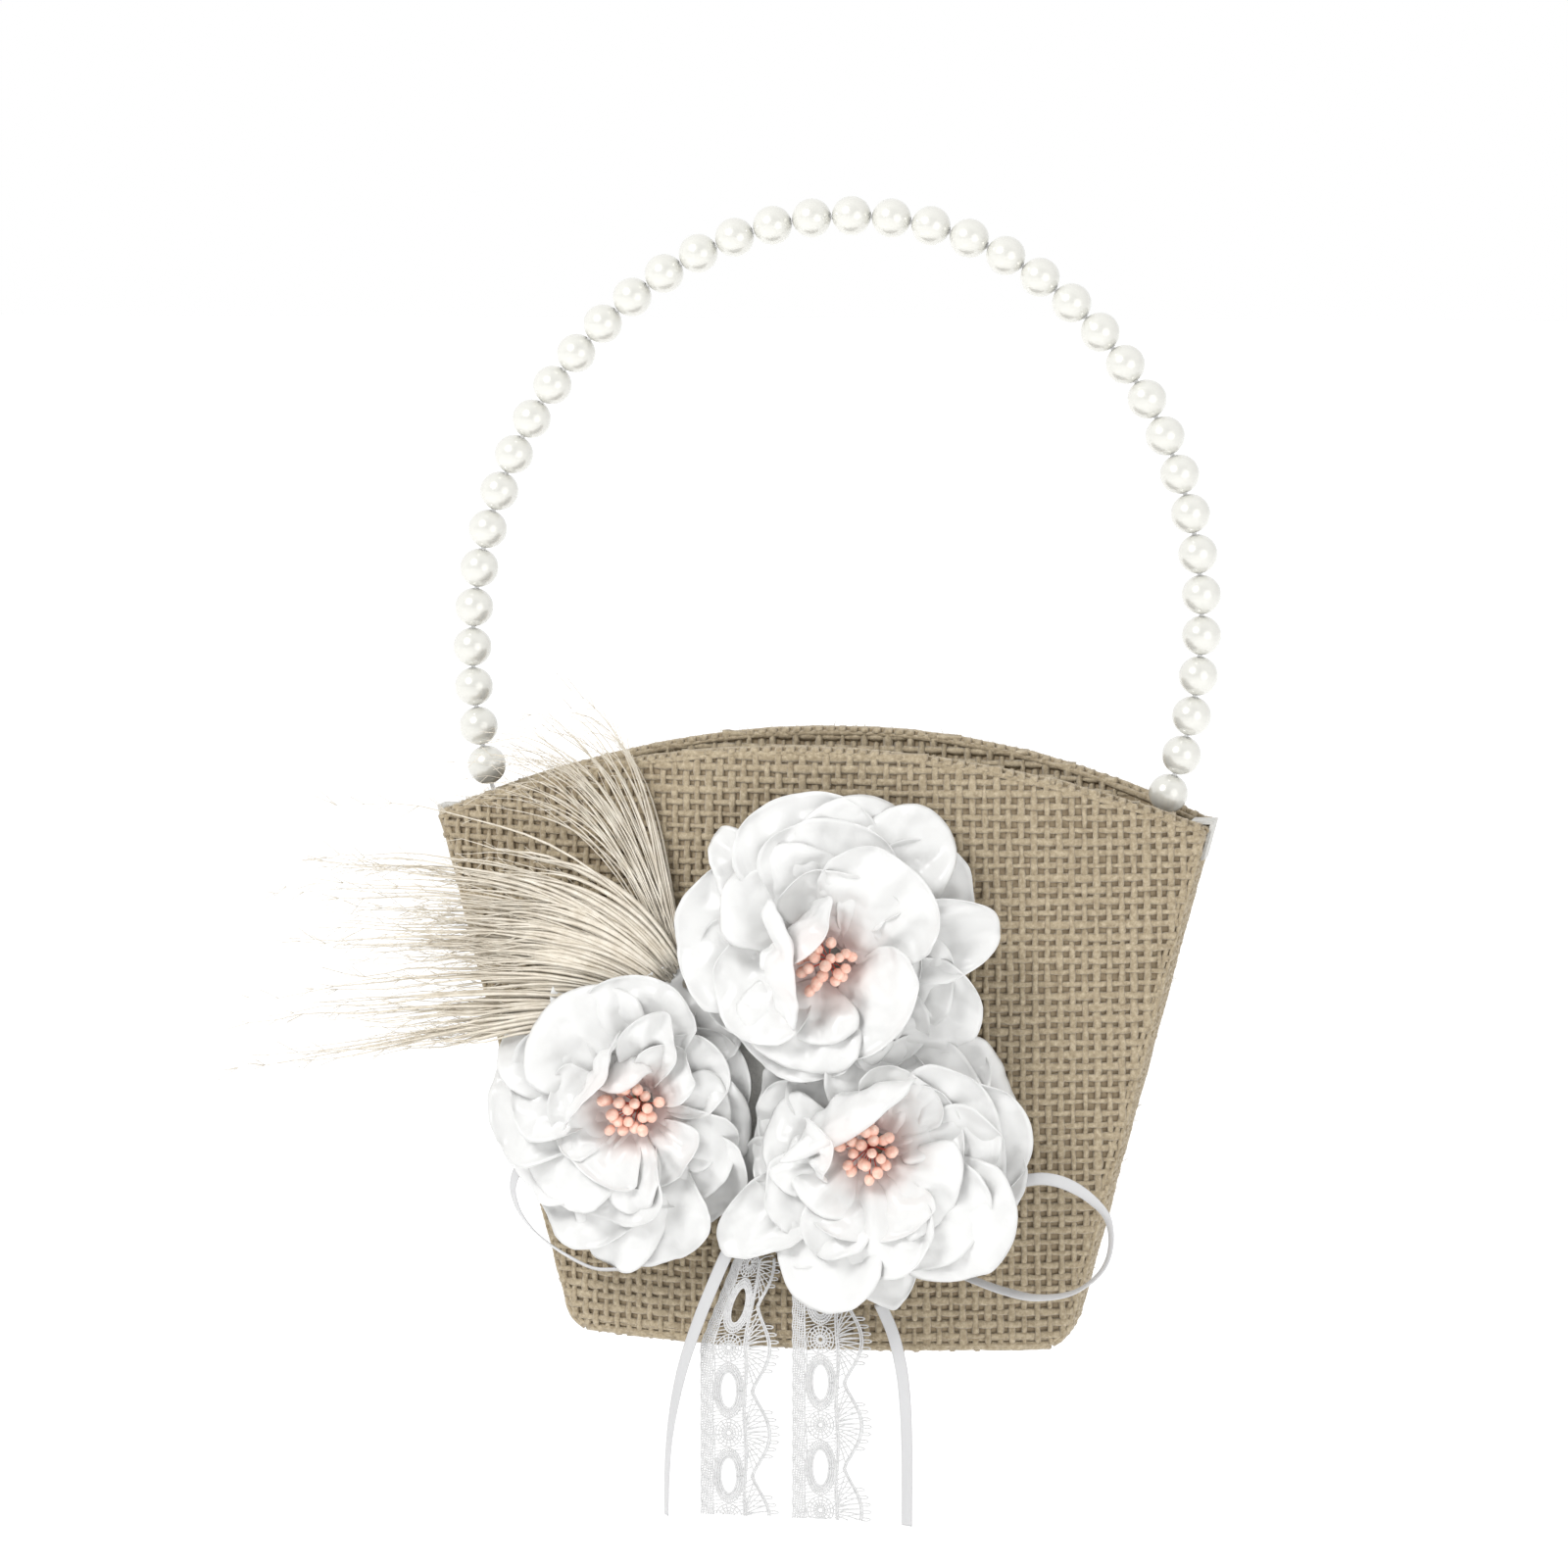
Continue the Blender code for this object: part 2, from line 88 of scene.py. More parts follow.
def to_row(points):
    """Millimetres from the base's middle to metres in the model's frame."""
    return np.asarray(points, float) * MM + np.array(BASE)


def place(x, y, z):
    return BASE + Vector((x, y, z)) * MM


# Materials

class Shader:
    """A material's nodes, added and linked by short calls."""

    def __init__(self, name):
        self.material = bpy.data.materials.new(name)
        self.material.use_nodes = True
        self.tree = self.material.node_tree
        self.surface = self.tree.nodes["Principled BSDF"]

    def node(self, kind, **settings):
        node = self.tree.nodes.new(kind)
        for key, value in settings.items():
            if key in node.inputs:
                node.inputs[key].default_value = value
            else:
                setattr(node, key, value)
        return node

    def link(self, source, target):
        self.tree.links.new(source, target)

    def set(self, **values):
        for key, value in values.items():
            self.surface.inputs[key.replace("_", " ")].default_value = value

    def noise(self, scale, detail=3.0, rough=0.6, stretch=(1, 1, 1)):
        place_node = self.node("ShaderNodeTexCoord")
        mapping = self.node("ShaderNodeMapping", Scale=stretch)
        texture = self.node("ShaderNodeTexNoise", Scale=scale, Detail=detail, Roughness=rough)
        self.link(place_node.outputs["Object"], mapping.inputs["Vector"])
        self.link(mapping.outputs["Vector"], texture.inputs["Vector"])
        return texture.outputs["Fac"]

    def paint(self, colour):
        self.link(colour, self.surface.inputs["Base Color"])

    def ramp(self, factor, stops):
        ramp = self.node("ShaderNodeValToRGB")
        while len(ramp.color_ramp.elements) < len(stops):
            ramp.color_ramp.elements.new(0.5)
        for element, (position, colour) in zip(ramp.color_ramp.elements, stops):
            element.position = position
            element.color = (*colour, 1)
        self.link(factor, ramp.inputs["Fac"])
        return ramp.outputs["Color"]

    def bump(self, height, strength, distance):
        bump = self.node("ShaderNodeBump", Strength=strength, Distance=distance)
        self.link(height, bump.inputs["Height"])
        self.link(bump.outputs["Normal"], self.surface.inputs["Normal"])


def yarn_material(name, dark, light, rough_light):
    s = Shader(name)
    tone = s.noise(900, 4, 0.7)
    s.paint(s.ramp(tone, [(0.3, dark), (0.52, light), (0.72, rough_light)]))
    s.set(Roughness=0.9, Sheen_Weight=0.25, Sheen_Roughness=0.6, Specular_IOR_Level=0.15)
    s.bump(s.noise(2600, 3, 0.7), 0.9, 0.0003)
    return s.material


def satin_material(name, colour, blush=False):
    s = Shader(name)
    s.set(Roughness=0.31, Sheen_Weight=0.2, Sheen_Roughness=0.35, Specular_IOR_Level=0.45, Anisotropic=0.35)
    tone = s.ramp(s.noise(60, 3), [(0.3, tuple(c * 0.965 for c in colour)), (0.7, colour)])
    if blush:
        mark = s.node("ShaderNodeAttribute", attribute_name="blush")
        mix = s.node("ShaderNodeMix", data_type="RGBA")
        s.link(mark.outputs["Fac"], mix.inputs["Factor"])
        s.link(tone, mix.inputs["A"])
        mix.inputs["B"].default_value = (0.93, 0.60, 0.53, 1)
        tone = mix.outputs["Result"]
    s.paint(tone)
    s.bump(s.noise(3500, 2, 0.6, (1, 1, 0.3)), 0.12, 0.0001)
    return s.material


def pearl_material():
    s = Shader("pearl_coat")
    s.paint(s.ramp(s.noise(120, 2), [(0.3, (0.67, 0.665, 0.62)), (0.7, (0.72, 0.715, 0.67))]))
    s.set(Roughness=0.26, Metallic=0.25, Coat_Weight=0.8, Coat_Roughness=0.1, Specular_IOR_Level=0.7)
    return s.material


def plain_material(name, dark, light, rough, scale, bump=0.3, metallic=0.0):
    s = Shader(name)
    s.paint(s.ramp(s.noise(scale, 4), [(0.3, dark), (0.7, light)]))
    s.set(Roughness=rough, Metallic=metallic)
    s.bump(s.noise(scale * 3, 3), bump, 0.0002)
    return s.material


# Meshes

def unit(rows):
    return rows / (np.linalg.norm(rows, axis=-1, keepdims=True) + 1e-12)


def new_object(name, data):
    obj = bpy.data.objects.new(name, data)
    bpy.context.scene.collection.objects.link(obj)
    return obj


def add_mesh(name, points, faces, material, body="basket", smooth=True):
    """A piece from points in millimetres, riding on a body."""
    mesh = bpy.data.meshes.new(name)
    mesh.from_pydata(to_row(points).tolist(), [], [tuple(face) for face in faces])
    mesh.materials.append(material)
    if smooth:
        mesh.shade_smooth()
    obj = new_object(name, mesh)
    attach(obj, body)
    return obj


def skin_faces(rings, count):
    """Faces that join rings of points, each of this count, into a skin with a cap at either end."""
    faces = []
    for start in range(0, (rings - 1) * count, count):
        for i in range(count):
            a, b = start + i, start + (i + 1) % count
            faces.append((a, b, b + count, a + count))
    last = (rings - 1) * count
    return faces + [tuple(range(count))[::-1], tuple(range(last, last + count))]


def standing(point, direction):
    """A matrix that puts +Z along a direction, at a point."""
    return Matrix.Translation(point) @ direction.to_track_quat("Z", "Y").to_matrix().to_4x4()


class Tubes:
    """Gathers round or flat tubes along paths into one mesh."""

    def __init__(self, sides=6):
        self.sides = sides
        self.points = []
        self.faces = []
        self.count = 0

    def add(self, path, normals, half_widths, half_heights):
        """path and normals are (n, 3); a half width lies across the normal, a half height along it."""
        path = np.asarray(path, float)
        size = len(path)
        if size < 2:
            return
        tangent = unit(np.gradient(path, axis=0))
        normals = np.broadcast_to(np.asarray(normals, float), path.shape)
        normals = unit(normals - tangent * (normals * tangent).sum(1)[:, None])
        across = np.cross(tangent, normals)
        angles = np.arange(self.sides) * 2 * math.pi / self.sides
        wide = np.broadcast_to(np.asarray(half_widths, float), (size,))[:, None, None]
        high = np.broadcast_to(np.asarray(half_heights, float), (size,))[:, None, None]
        ring = (path[:, None] + across[:, None] * (np.cos(angles)[None, :, None] * wide)
                + normals[:, None] * (np.sin(angles)[None, :, None] * high))
        self.points.append(ring.reshape(-1, 3))
        k = self.sides
        index = self.count + np.arange(size * k).reshape(size, k)
        a, b = index[:-1], index[1:]
        quads = np.stack([a, np.roll(a, -1, 1), np.roll(b, -1, 1), b], -1).reshape(-1, 4)
        self.faces.extend(quads.tolist())
        self.faces.append(index[0][::-1].tolist())
        self.faces.append(index[-1].tolist())
        self.count += size * k

    def build(self, name, material, body="basket"):
        return add_mesh(name, np.concatenate(self.points), self.faces, material, body)


# The tub's walls

def half_width(z):
    straight = BASE_HALF_WIDTH + (RIM_HALF_WIDTH - BASE_HALF_WIDTH) * z / CORNER_HEIGHT
    below = np.clip(BASE_CORNER - z, 0, BASE_CORNER)
    return straight - BASE_CORNER + np.sqrt(BASE_CORNER ** 2 - below ** 2)


def bow(z):
    return BASE_BOW + (RIM_BOW - BASE_BOW) * z / CORNER_HEIGHT


def rim_height(x):
    return CORNER_HEIGHT + RIM_ARCH * np.clip(1 - (x / RIM_HALF_WIDTH) ** 2, 0, 1)


def wall_depth(x, z, inset=0.0):
    """Distance of a bowed wall's surface from the middle plane."""
    level = z
    for _ in range(3):
        share = np.clip(1 - (x / (half_width(level) - inset)) ** 2, 0, 1)
        level = z / (1 + RIM_ARCH / CORNER_HEIGHT * share)
    return SIDE_DEPTH / 2 - inset + bow(level) * share


def scatter(count):
    return np.array([RNG.uniform(-1, 1) for _ in range(count)])


def jitter(count, amount, smoothness=5):
    """Slow random wander along a yarn."""
    kernel = np.ones(2 * smoothness) / (2 * smoothness)
    return np.convolve(scatter(count + 2 * smoothness), kernel, "valid")[:count] * amount * 2.2


def add_yarn(tubes, path, normals, phase):
    """Lays one yarn along its path, weaving over and under across the normal."""
    size = len(path)
    wander = jitter(size, 0.2)
    stout = RNG.uniform(0.85, 1.22)
    wide = YARN_WIDTH / 2 * stout * (1 + jitter(size, 0.32, 3))
    high = YARN_THICKNESS / 2 * stout * (1 + jitter(size, 0.15, 3))
    side = unit(np.cross(np.gradient(path, axis=0), normals))
    path = path + normals * (phase * YARN_WAVE)[:, None] + side * wander[:, None]
    tubes.add(path, normals, np.clip(wide, 0.4, 1.3), np.clip(high, 0.28, 0.7))


def weave_phase(along, across_index):
    """Over (+1) or under (-1) at each crossing, for a position along a yarn in pitches."""
    return np.cos(math.pi * (along + across_index))


def pearl_room(x, z):
    """How far the lining sinks into the wall beside the lowest pearls, which swing close to it."""
    return 0.9 * np.clip((np.abs(x) - 68) / 6, 0, 1) * np.clip((z - 114) / 6, 0, 1)


def laid_on_wall(x, z, facing, inset, lift, near):
    """A path on the front or back wall, lifted off it, and its normals. Points a little near it give the slope."""
    inner = inset > 0
    path = np.stack([x, facing * wall_depth(x, z, inset), z], 1)
    slope = facing * (wall_depth(x + near, z, inset) - wall_depth(x - near, z, inset)) / (2 * near)
    normals = unit(np.stack([-slope, np.ones_like(z), np.zeros_like(z)], 1)) * (-facing if inner else facing)
    return path + normals * (lift - inner * pearl_room(x, z))[:, None], normals


def wall_yarns(name, facing, material, inset, lift, sides):
    """Upright and level yarns of the front (facing -1) or back (+1) wall.

    inset places them on the outer (0) or inner surface, and lift moves them off it."""
    upright, level = Tubes(sides), Tubes(sides)
    columns = int((RIM_HALF_WIDTH - inset) / YARN_PITCH)
    for column in range(-columns, columns + 1):
        x = column * YARN_PITCH + RNG.uniform(-0.12, 0.12)
        reach = abs(x) + 0.6
        low = 0.5
        if reach > BASE_HALF_WIDTH - BASE_CORNER:
            heights = np.linspace(0, CORNER_HEIGHT, 800)
            fits = heights[half_width(heights) - inset > reach]
            if len(fits) == 0:
                continue
            low = max(low, fits[0])
        z = np.arange(low, rim_height(x) - 0.4, YARN_STEP)
        if len(z) < 4:
            continue
        path, normals = laid_on_wall(np.full_like(z, x), z, facing, inset, lift, 0.5)
        add_yarn(upright, path, normals, weave_phase(z / YARN_PITCH, column))
    for row in range(int((CORNER_HEIGHT + RIM_ARCH) / YARN_PITCH) + 1):
        z = (row + 0.25) * YARN_PITCH + RNG.uniform(-0.1, 0.1)
        edge = half_width(min(z, CORNER_HEIGHT)) - inset - 0.4
        if z > CORNER_HEIGHT:
            rise = (z + 0.3 - CORNER_HEIGHT) / RIM_ARCH
            if rise >= 1:
                continue
            edge = min(edge, RIM_HALF_WIDTH * math.sqrt(1 - rise))
        x = np.clip(np.arange(-edge, edge + YARN_STEP, YARN_STEP), -edge, edge)
        path, normals = laid_on_wall(x, np.full_like(x, z), facing, inset, lift, 0.3)
        add_yarn(level, path, normals, -weave_phase(x / YARN_PITCH, row))
    return [upright.build(f"{name}_upright_yarns", material), level.build(f"{name}_level_yarns", material)]


def side_yarns(side, material, inset, lift, sides):
    """Yarns of one narrow side wall (side -1 left, +1 right)."""
    tubes = Tubes(sides)
    inner = inset > 0
    slope = (RIM_HALF_WIDTH - BASE_HALF_WIDTH) / CORNER_HEIGHT
    normal = unit(np.array([side, 0, -slope])) * (-1 if inner else 1)
    reach = SIDE_DEPTH / 2 - inset - 0.3
    count = int(reach / YARN_PITCH)
    for column in range(-count, count + 1):
        z = np.arange(1.5, CORNER_HEIGHT, YARN_STEP)
        x = side * (half_width(z) - inset)
        path = np.stack([x, np.full_like(z, column * YARN_PITCH), z], 1) + normal * lift
        add_yarn(tubes, path, np.broadcast_to(normal, path.shape), weave_phase(z / YARN_PITCH, column))
    for row in range(1, int(CORNER_HEIGHT / YARN_PITCH)):
        z = (row + 0.25) * YARN_PITCH
        y = np.arange(-reach, reach + YARN_STEP / 2, YARN_STEP)
        x = np.full_like(y, side * (half_width(z) - inset))
        path = np.stack([x, y, np.full_like(y, z)], 1) + normal * lift
        add_yarn(tubes, path, np.broadcast_to(normal, path.shape), -weave_phase(y / YARN_PITCH, row))
    word = "left" if side < 0 else "right"
    layer = "lining" if inner else "cover"
    return tubes.build(f"{word}_side_{layer}_yarns", material)


def base_yarns(material):
    """Yarns both ways under the base."""
    tubes = Tubes(5)
    width = half_width(0.6) - 1
    normal = np.array([0, 0, -1.0])
    rows = int((SIDE_DEPTH / 2 + BASE_BOW) / YARN_PITCH)
    for row in range(-rows, rows + 1):
        y = row * YARN_PITCH
        over = abs(y) + 0.6 - SIDE_DEPTH / 2
        edge = width if over <= 0 else width * math.sqrt(max(0.0, 1 - over / BASE_BOW))
        if edge < YARN_PITCH:
            continue
        x = np.arange(-edge, edge, YARN_STEP)
        path = np.stack([x, np.full_like(x, y), np.full_like(x, 0.1)], 1)
        add_yarn(tubes, path, np.broadcast_to(normal, path.shape), weave_phase(x / YARN_PITCH, row))
    columns = int(width / YARN_PITCH)
    for column in range(-columns, columns + 1):
        x = column * YARN_PITCH
        reach = SIDE_DEPTH / 2 + BASE_BOW * max(0.0, 1 - (x / (width + 1)) ** 2) - 0.5
        y = np.arange(-reach, reach, YARN_STEP)
        path = np.stack([np.full_like(y, x), y, np.full_like(y, 0.1)], 1)
        add_yarn(tubes, path, np.broadcast_to(normal, path.shape), -weave_phase(y / YARN_PITCH, column))
    return tubes.build("base_yarns", material)


def tub_outline(z, arch, inset, segments=40):
    """Points round the tub at a level z, raised towards the middle by the arch."""
    ring = []
    width = half_width(z) - inset
    for side in (-1, 1):
        for i in range(segments + 1):
            x = side * -width * (2 * i / segments - 1)
            share = 1 - (x / width) ** 2
            ring.append((x, side * (SIDE_DEPTH / 2 - inset + bow(z) * share), z + arch * share))
    return ring


def wall_core(material):
    """The wall behind the yarns: one closed skin, down the outside, over the rim and down the inside."""
    top = CORNER_HEIGHT - 1.2
    outside, inside = (0.0, 1.0, 3.0, BASE_CORNER, 30, 60, 90, 115, top), (top, 80, 40, 12, WALL + 2, WALL)
    rings = [tub_outline(z, RIM_ARCH * z / CORNER_HEIGHT, CORE_INSET) for z in outside]
    for i in range(1, 7):
        turn = math.pi * i / 7
        depth = RIM_ROUND - (RIM_ROUND - CORE_INSET) * math.cos(turn)
        rings.append(tub_outline(top + 1.1 * math.sin(turn), RIM_ARCH, depth))
    rings += [tub_outline(z, RIM_ARCH * z / CORNER_HEIGHT, LINING_CORE_INSET) for z in inside]
    points = [point for ring in rings for point in ring]
    return add_mesh("wall_core", points, skin_faces(len(rings), len(rings[0])), material, smooth=False)


def rim_wraps(material):
    """Yarn ends that fold over the rim, and the doubled edge that they form."""
    tubes = Tubes(6)
    turn = np.linspace(-0.35, math.pi + 0.35, 9)
    depth = RIM_ROUND - (RIM_ROUND + 0.15) * np.cos(turn)
    rise = 0.95 * np.sin(turn) - 1.0
    wide, high = YARN_WIDTH / 2, YARN_THICKNESS / 2
    for facing in (-1, 1):
        columns = int((RIM_HALF_WIDTH - 2) / YARN_PITCH)
        for column in range(-columns, columns + 1):
            x = column * YARN_PITCH + RNG.uniform(-0.15, 0.15)
            y = facing * (wall_depth(x, rim_height(x)) - depth)
            path = np.stack([np.full_like(y, x), y, rim_height(x) + rise], 1)
            normals = path - path.mean(0) + (0, 0, 1.0)
            tubes.add(path, normals, wide * RNG.uniform(1.15, 1.45), high * RNG.uniform(0.7, 0.95))
        for inset, drop in ((0.2, 1.5), (RIM_ROUND, 0.5), (WALL - 0.2, 1.5)):
            x = np.linspace(-1, 1, 160) * (RIM_HALF_WIDTH - inset)
            z = rim_height(x)
            path = np.stack([x, facing * wall_depth(x, z, inset), z - drop], 1)
            size = len(path)
            tubes.add(path, (0, facing, 0), 0.75 * (1 + jitter(size, 0.25, 3)), 0.6 * (1 + jitter(size, 0.2, 3)))
    for side in (-1, 1):
        for row in range(-2, 3):
            x = side * (RIM_HALF_WIDTH - depth)
            path = np.stack([x, np.full_like(x, row * YARN_PITCH), CORNER_HEIGHT + rise], 1)
            tubes.add(path, path - path.mean(0) + (0, 0, 1.0), wide, high)
    return tubes.build("rim_fold_yarns", material)


def edge_yarns(material):
    """Yarns that run along the corners and round the bottom, where the cloth turns."""
    tubes = Tubes(6)
    z = np.arange(0.8, CORNER_HEIGHT - 0.5, 1.2)
    for side in (-1, 1):
        for facing in (-1, 1):
            for shift in (0.0, 1.3):
                x = side * (half_width(z) - 0.25 - shift)
                y = facing * wall_depth(x, z, 0.35)
                size = len(z)
                path = np.stack([x, y, z], 1) + jitter(size, 0.15, 3)[:, None]
                tubes.add(path, (side, facing, 0), 0.75 * (1 + jitter(size, 0.3, 3)), 0.55 * (1 + jitter(size, 0.3, 3)))
    ring = np.array(tub_outline(1.2, 0.0, 0.3) + tub_outline(1.2, 0.0, 0.3)[:1])
    for lift in (0.0, 1.5):
        path = ring + np.array([0, 0, lift])
        size = len(path)
        tubes.add(path, (0, 0, 1), 0.7 * (1 + jitter(size, 0.3, 3)), 0.6 * (1 + jitter(size, 0.3, 3)))
    return tubes.build("edge_yarns", material)


def fuzz(material):
    """Loose jute hairs standing off the burlap and its rim."""
    tubes = Tubes(3)
    for i in range(FUZZ_HAIRS):
        facing = -1 if RNG.random() < 0.6 else 1
        if i % 3 == 0:
            x = RNG.uniform(-RIM_HALF_WIDTH, RIM_HALF_WIDTH)
            z = float(rim_height(x)) - RNG.uniform(0, 1)
            out = np.array([0, facing * 0.4, 1.0])
        elif i % 3 == 1:
            z = RNG.uniform(2, CORNER_HEIGHT)
            x = RNG.choice((-1, 1)) * float(half_width(z))
            out = np.array([math.copysign(1, x), 0, 0.2])
        else:
            z = RNG.uniform(3, CORNER_HEIGHT)
            x = RNG.uniform(-1, 1) * float(half_width(z)) * 0.97
            out = np.array([0, facing, 0.0])
        y = facing * float(wall_depth(x, min(z, CORNER_HEIGHT)))
        if i % 3 == 1:
            y = RNG.uniform(-1, 1) * SIDE_DEPTH / 2
        way = unit(out + scatter(3) * 0.9)
        bend = scatter(3)
        length = RNG.uniform(0.8, 2.8)
        t = np.linspace(0, 1, 5)[:, None]
        path = np.array([x, y, z]) + way * length * t + bend * length * 0.4 * t ** 2
        radius = np.linspace(0.04, 0.015, 5)
        tubes.add(path, (0.3, 0.5, 0.7), radius, radius)
    return tubes.build("jute_fuzz", material)


# Handle

BEAD_RADIUS = 4.85
BEAD_BORE = 0.95             # radius of the hole
BEAD_RINGS = 24
BEAD_TURNS = 40


def build_beads(material):
    """Smooth bored pearls in the places of the model's faceted ones."""
    names = sorted(name for name in frame["nodes"] if name.startswith("pearl_"))
    centres = []
    for name in names:
        low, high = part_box(name)
        centres.append((Vector(low) + Vector(high)) / 2)
    radius, bore = BEAD_RADIUS * MM, BEAD_BORE * MM
    work = bmesh.new()
    profile = []
    start = math.asin(bore / radius)
    for i in range(BEAD_RINGS + 1):
        angle = start + (math.pi - 2 * start) * i / BEAD_RINGS
        profile.append((radius * math.sin(angle), radius * math.cos(angle)))
    profile += [(bore * 0.8, profile[-1][1] + 0.0004), (bore * 0.8, profile[0][1] - 0.0004)]
    turns = [2 * math.pi * k / BEAD_TURNS for k in range(BEAD_TURNS)]
    rings = [[work.verts.new((r * math.cos(turn), r * math.sin(turn), h)) for turn in turns] for r, h in profile]
    for ring, following in zip(rings, rings[1:] + rings[:1]):
        for k in range(BEAD_TURNS):
            after = (k + 1) % BEAD_TURNS
            work.faces.new((ring[k], following[k], following[after], ring[after]))
    bmesh.ops.recalc_face_normals(work, faces=work.faces)
    mesh = bpy.data.meshes.new("bead")
    work.to_mesh(mesh)
    work.free()
    mesh.materials.append(material)
    mesh.shade_smooth()
    for i, (name, centre) in enumerate(zip(names, centres)):
        before, after = centres[max(0, i - 1)], centres[min(len(centres) - 1, i + 1)]
        bead = new_object(name.replace("pearl", "bead"), mesh)
        bead.matrix_world = standing(centre, (after - before).normalized())
        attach(bead, "handle")
        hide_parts(name)


# Ribbons

RIBBON_WIDTH = 3.2
RIBBON_THICKNESS = 0.3
RIBBON_BEVEL = 0.25          # how far its edges taper
# Name: body, far end, route (x, y, z), and how far the face turns from the front along it, in degrees.
RIBBONS = {
    "loop_right": ("basket", "object", [
        (49, -25.2, 42.5), (53, -25.5, 44.2), (56, -25.5, 45), (60, -25.2, 45.3), (65, -25, 44.2), (70.5, -24.5, 41),
        (75, -24, 36), (76, -24.5, 29), (73.5, -25, 22.5), (67, -26, 17.5), (58, -26.5, 16), (50, -27, 17.5),
        (43, -28, 20), (38, -28.5, 22)], (10, 5, 55, 80, 62, 70)),
    "loop_left": ("basket", "object", [
        (-69, -23.3, 48), (-73, -23.5, 43), (-74.5, -23, 39), (-74.2, -22.5, 35), (-72, -22.5, 30.5), (-67.5, -23, 26),
        (-61, -24, 22), (-53.5, -25, 19), (-47, -25.5, 19)], (20, 50, 70, 62, 66)),
    "tail_left": ("ribbon_tail_left", "bare", [
        (-18.4, -28, 26), (-21.5, -28, 19), (-25.5, -28, 9.3), (-29.5, -28, -2), (-32, -28, -12), (-33.6, -28, -22),
        (-34.3, -28, -32), (-34.5, -28, -42)], (0, 12, 30, 52, 60)),
    "tail_right": ("ribbon_tail_right", "bare", [
        (19.4, -28, 13.5), (22.6, -28, 6), (24.6, -28, -2), (25.6, -28, -10), (26.1, -28, -20), (26.2, -28, -30),
        (26.2, -28, -42)], (5, 10, 18, 24, 26)),
}


def smooth_route(points, spacing):
    """A Catmull-Rom curve through the points."""
    points = [np.array(point, float) for point in points]
    points = [2 * points[0] - points[1]] + points + [2 * points[-1] - points[-2]]
    result = []
    for a, b, c, d in zip(points, points[1:], points[2:], points[3:]):
        steps = max(1, round(float(np.linalg.norm(c - b)) / spacing))
        for i in range(steps):
            t = i / steps
            square, cube = 2 * a - 5 * b + 4 * c - d, 3 * b - a - 3 * c + d
            result.append(0.5 * (2 * b + (c - a) * t + square * t ** 2 + cube * t ** 3))
    return np.array(result + [points[-2]])


def build_ribbons(material):
    """Flat satin ribbons along their routes."""
    for name, (body, far_end, route, turns) in RIBBONS.items():
        path = smooth_route(route, 0.8)
        tangent = unit(np.gradient(path, axis=0))
        front = unit(np.array([0, -1.0, 0]) - tangent * (tangent @ np.array([0, -1.0, 0]))[:, None])
        side = np.cross(tangent, front)
        angle = np.radians(np.interp(np.linspace(0, 1, len(path)), np.linspace(0, 1, len(turns)), turns))[:, None]
        face = front * np.cos(angle) + side * np.sin(angle)
        across = np.cross(tangent, face)
        half, edge, thick = RIBBON_WIDTH / 2, RIBBON_WIDTH / 2 - RIBBON_BEVEL, RIBBON_THICKNESS / 2
        section = [(-half, 0), (-edge, thick), (edge, thick), (half, 0), (edge, -thick), (-edge, -thick)]
        ring = np.stack([path + across * a + face * b for a, b in section], 1)
        faces = skin_faces(len(path), len(section))
        ribbon = add_mesh(f"satin_{name}", ring.reshape(-1, 3), faces, material, body)
        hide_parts(f"ribbon_{name}")


# Flowers

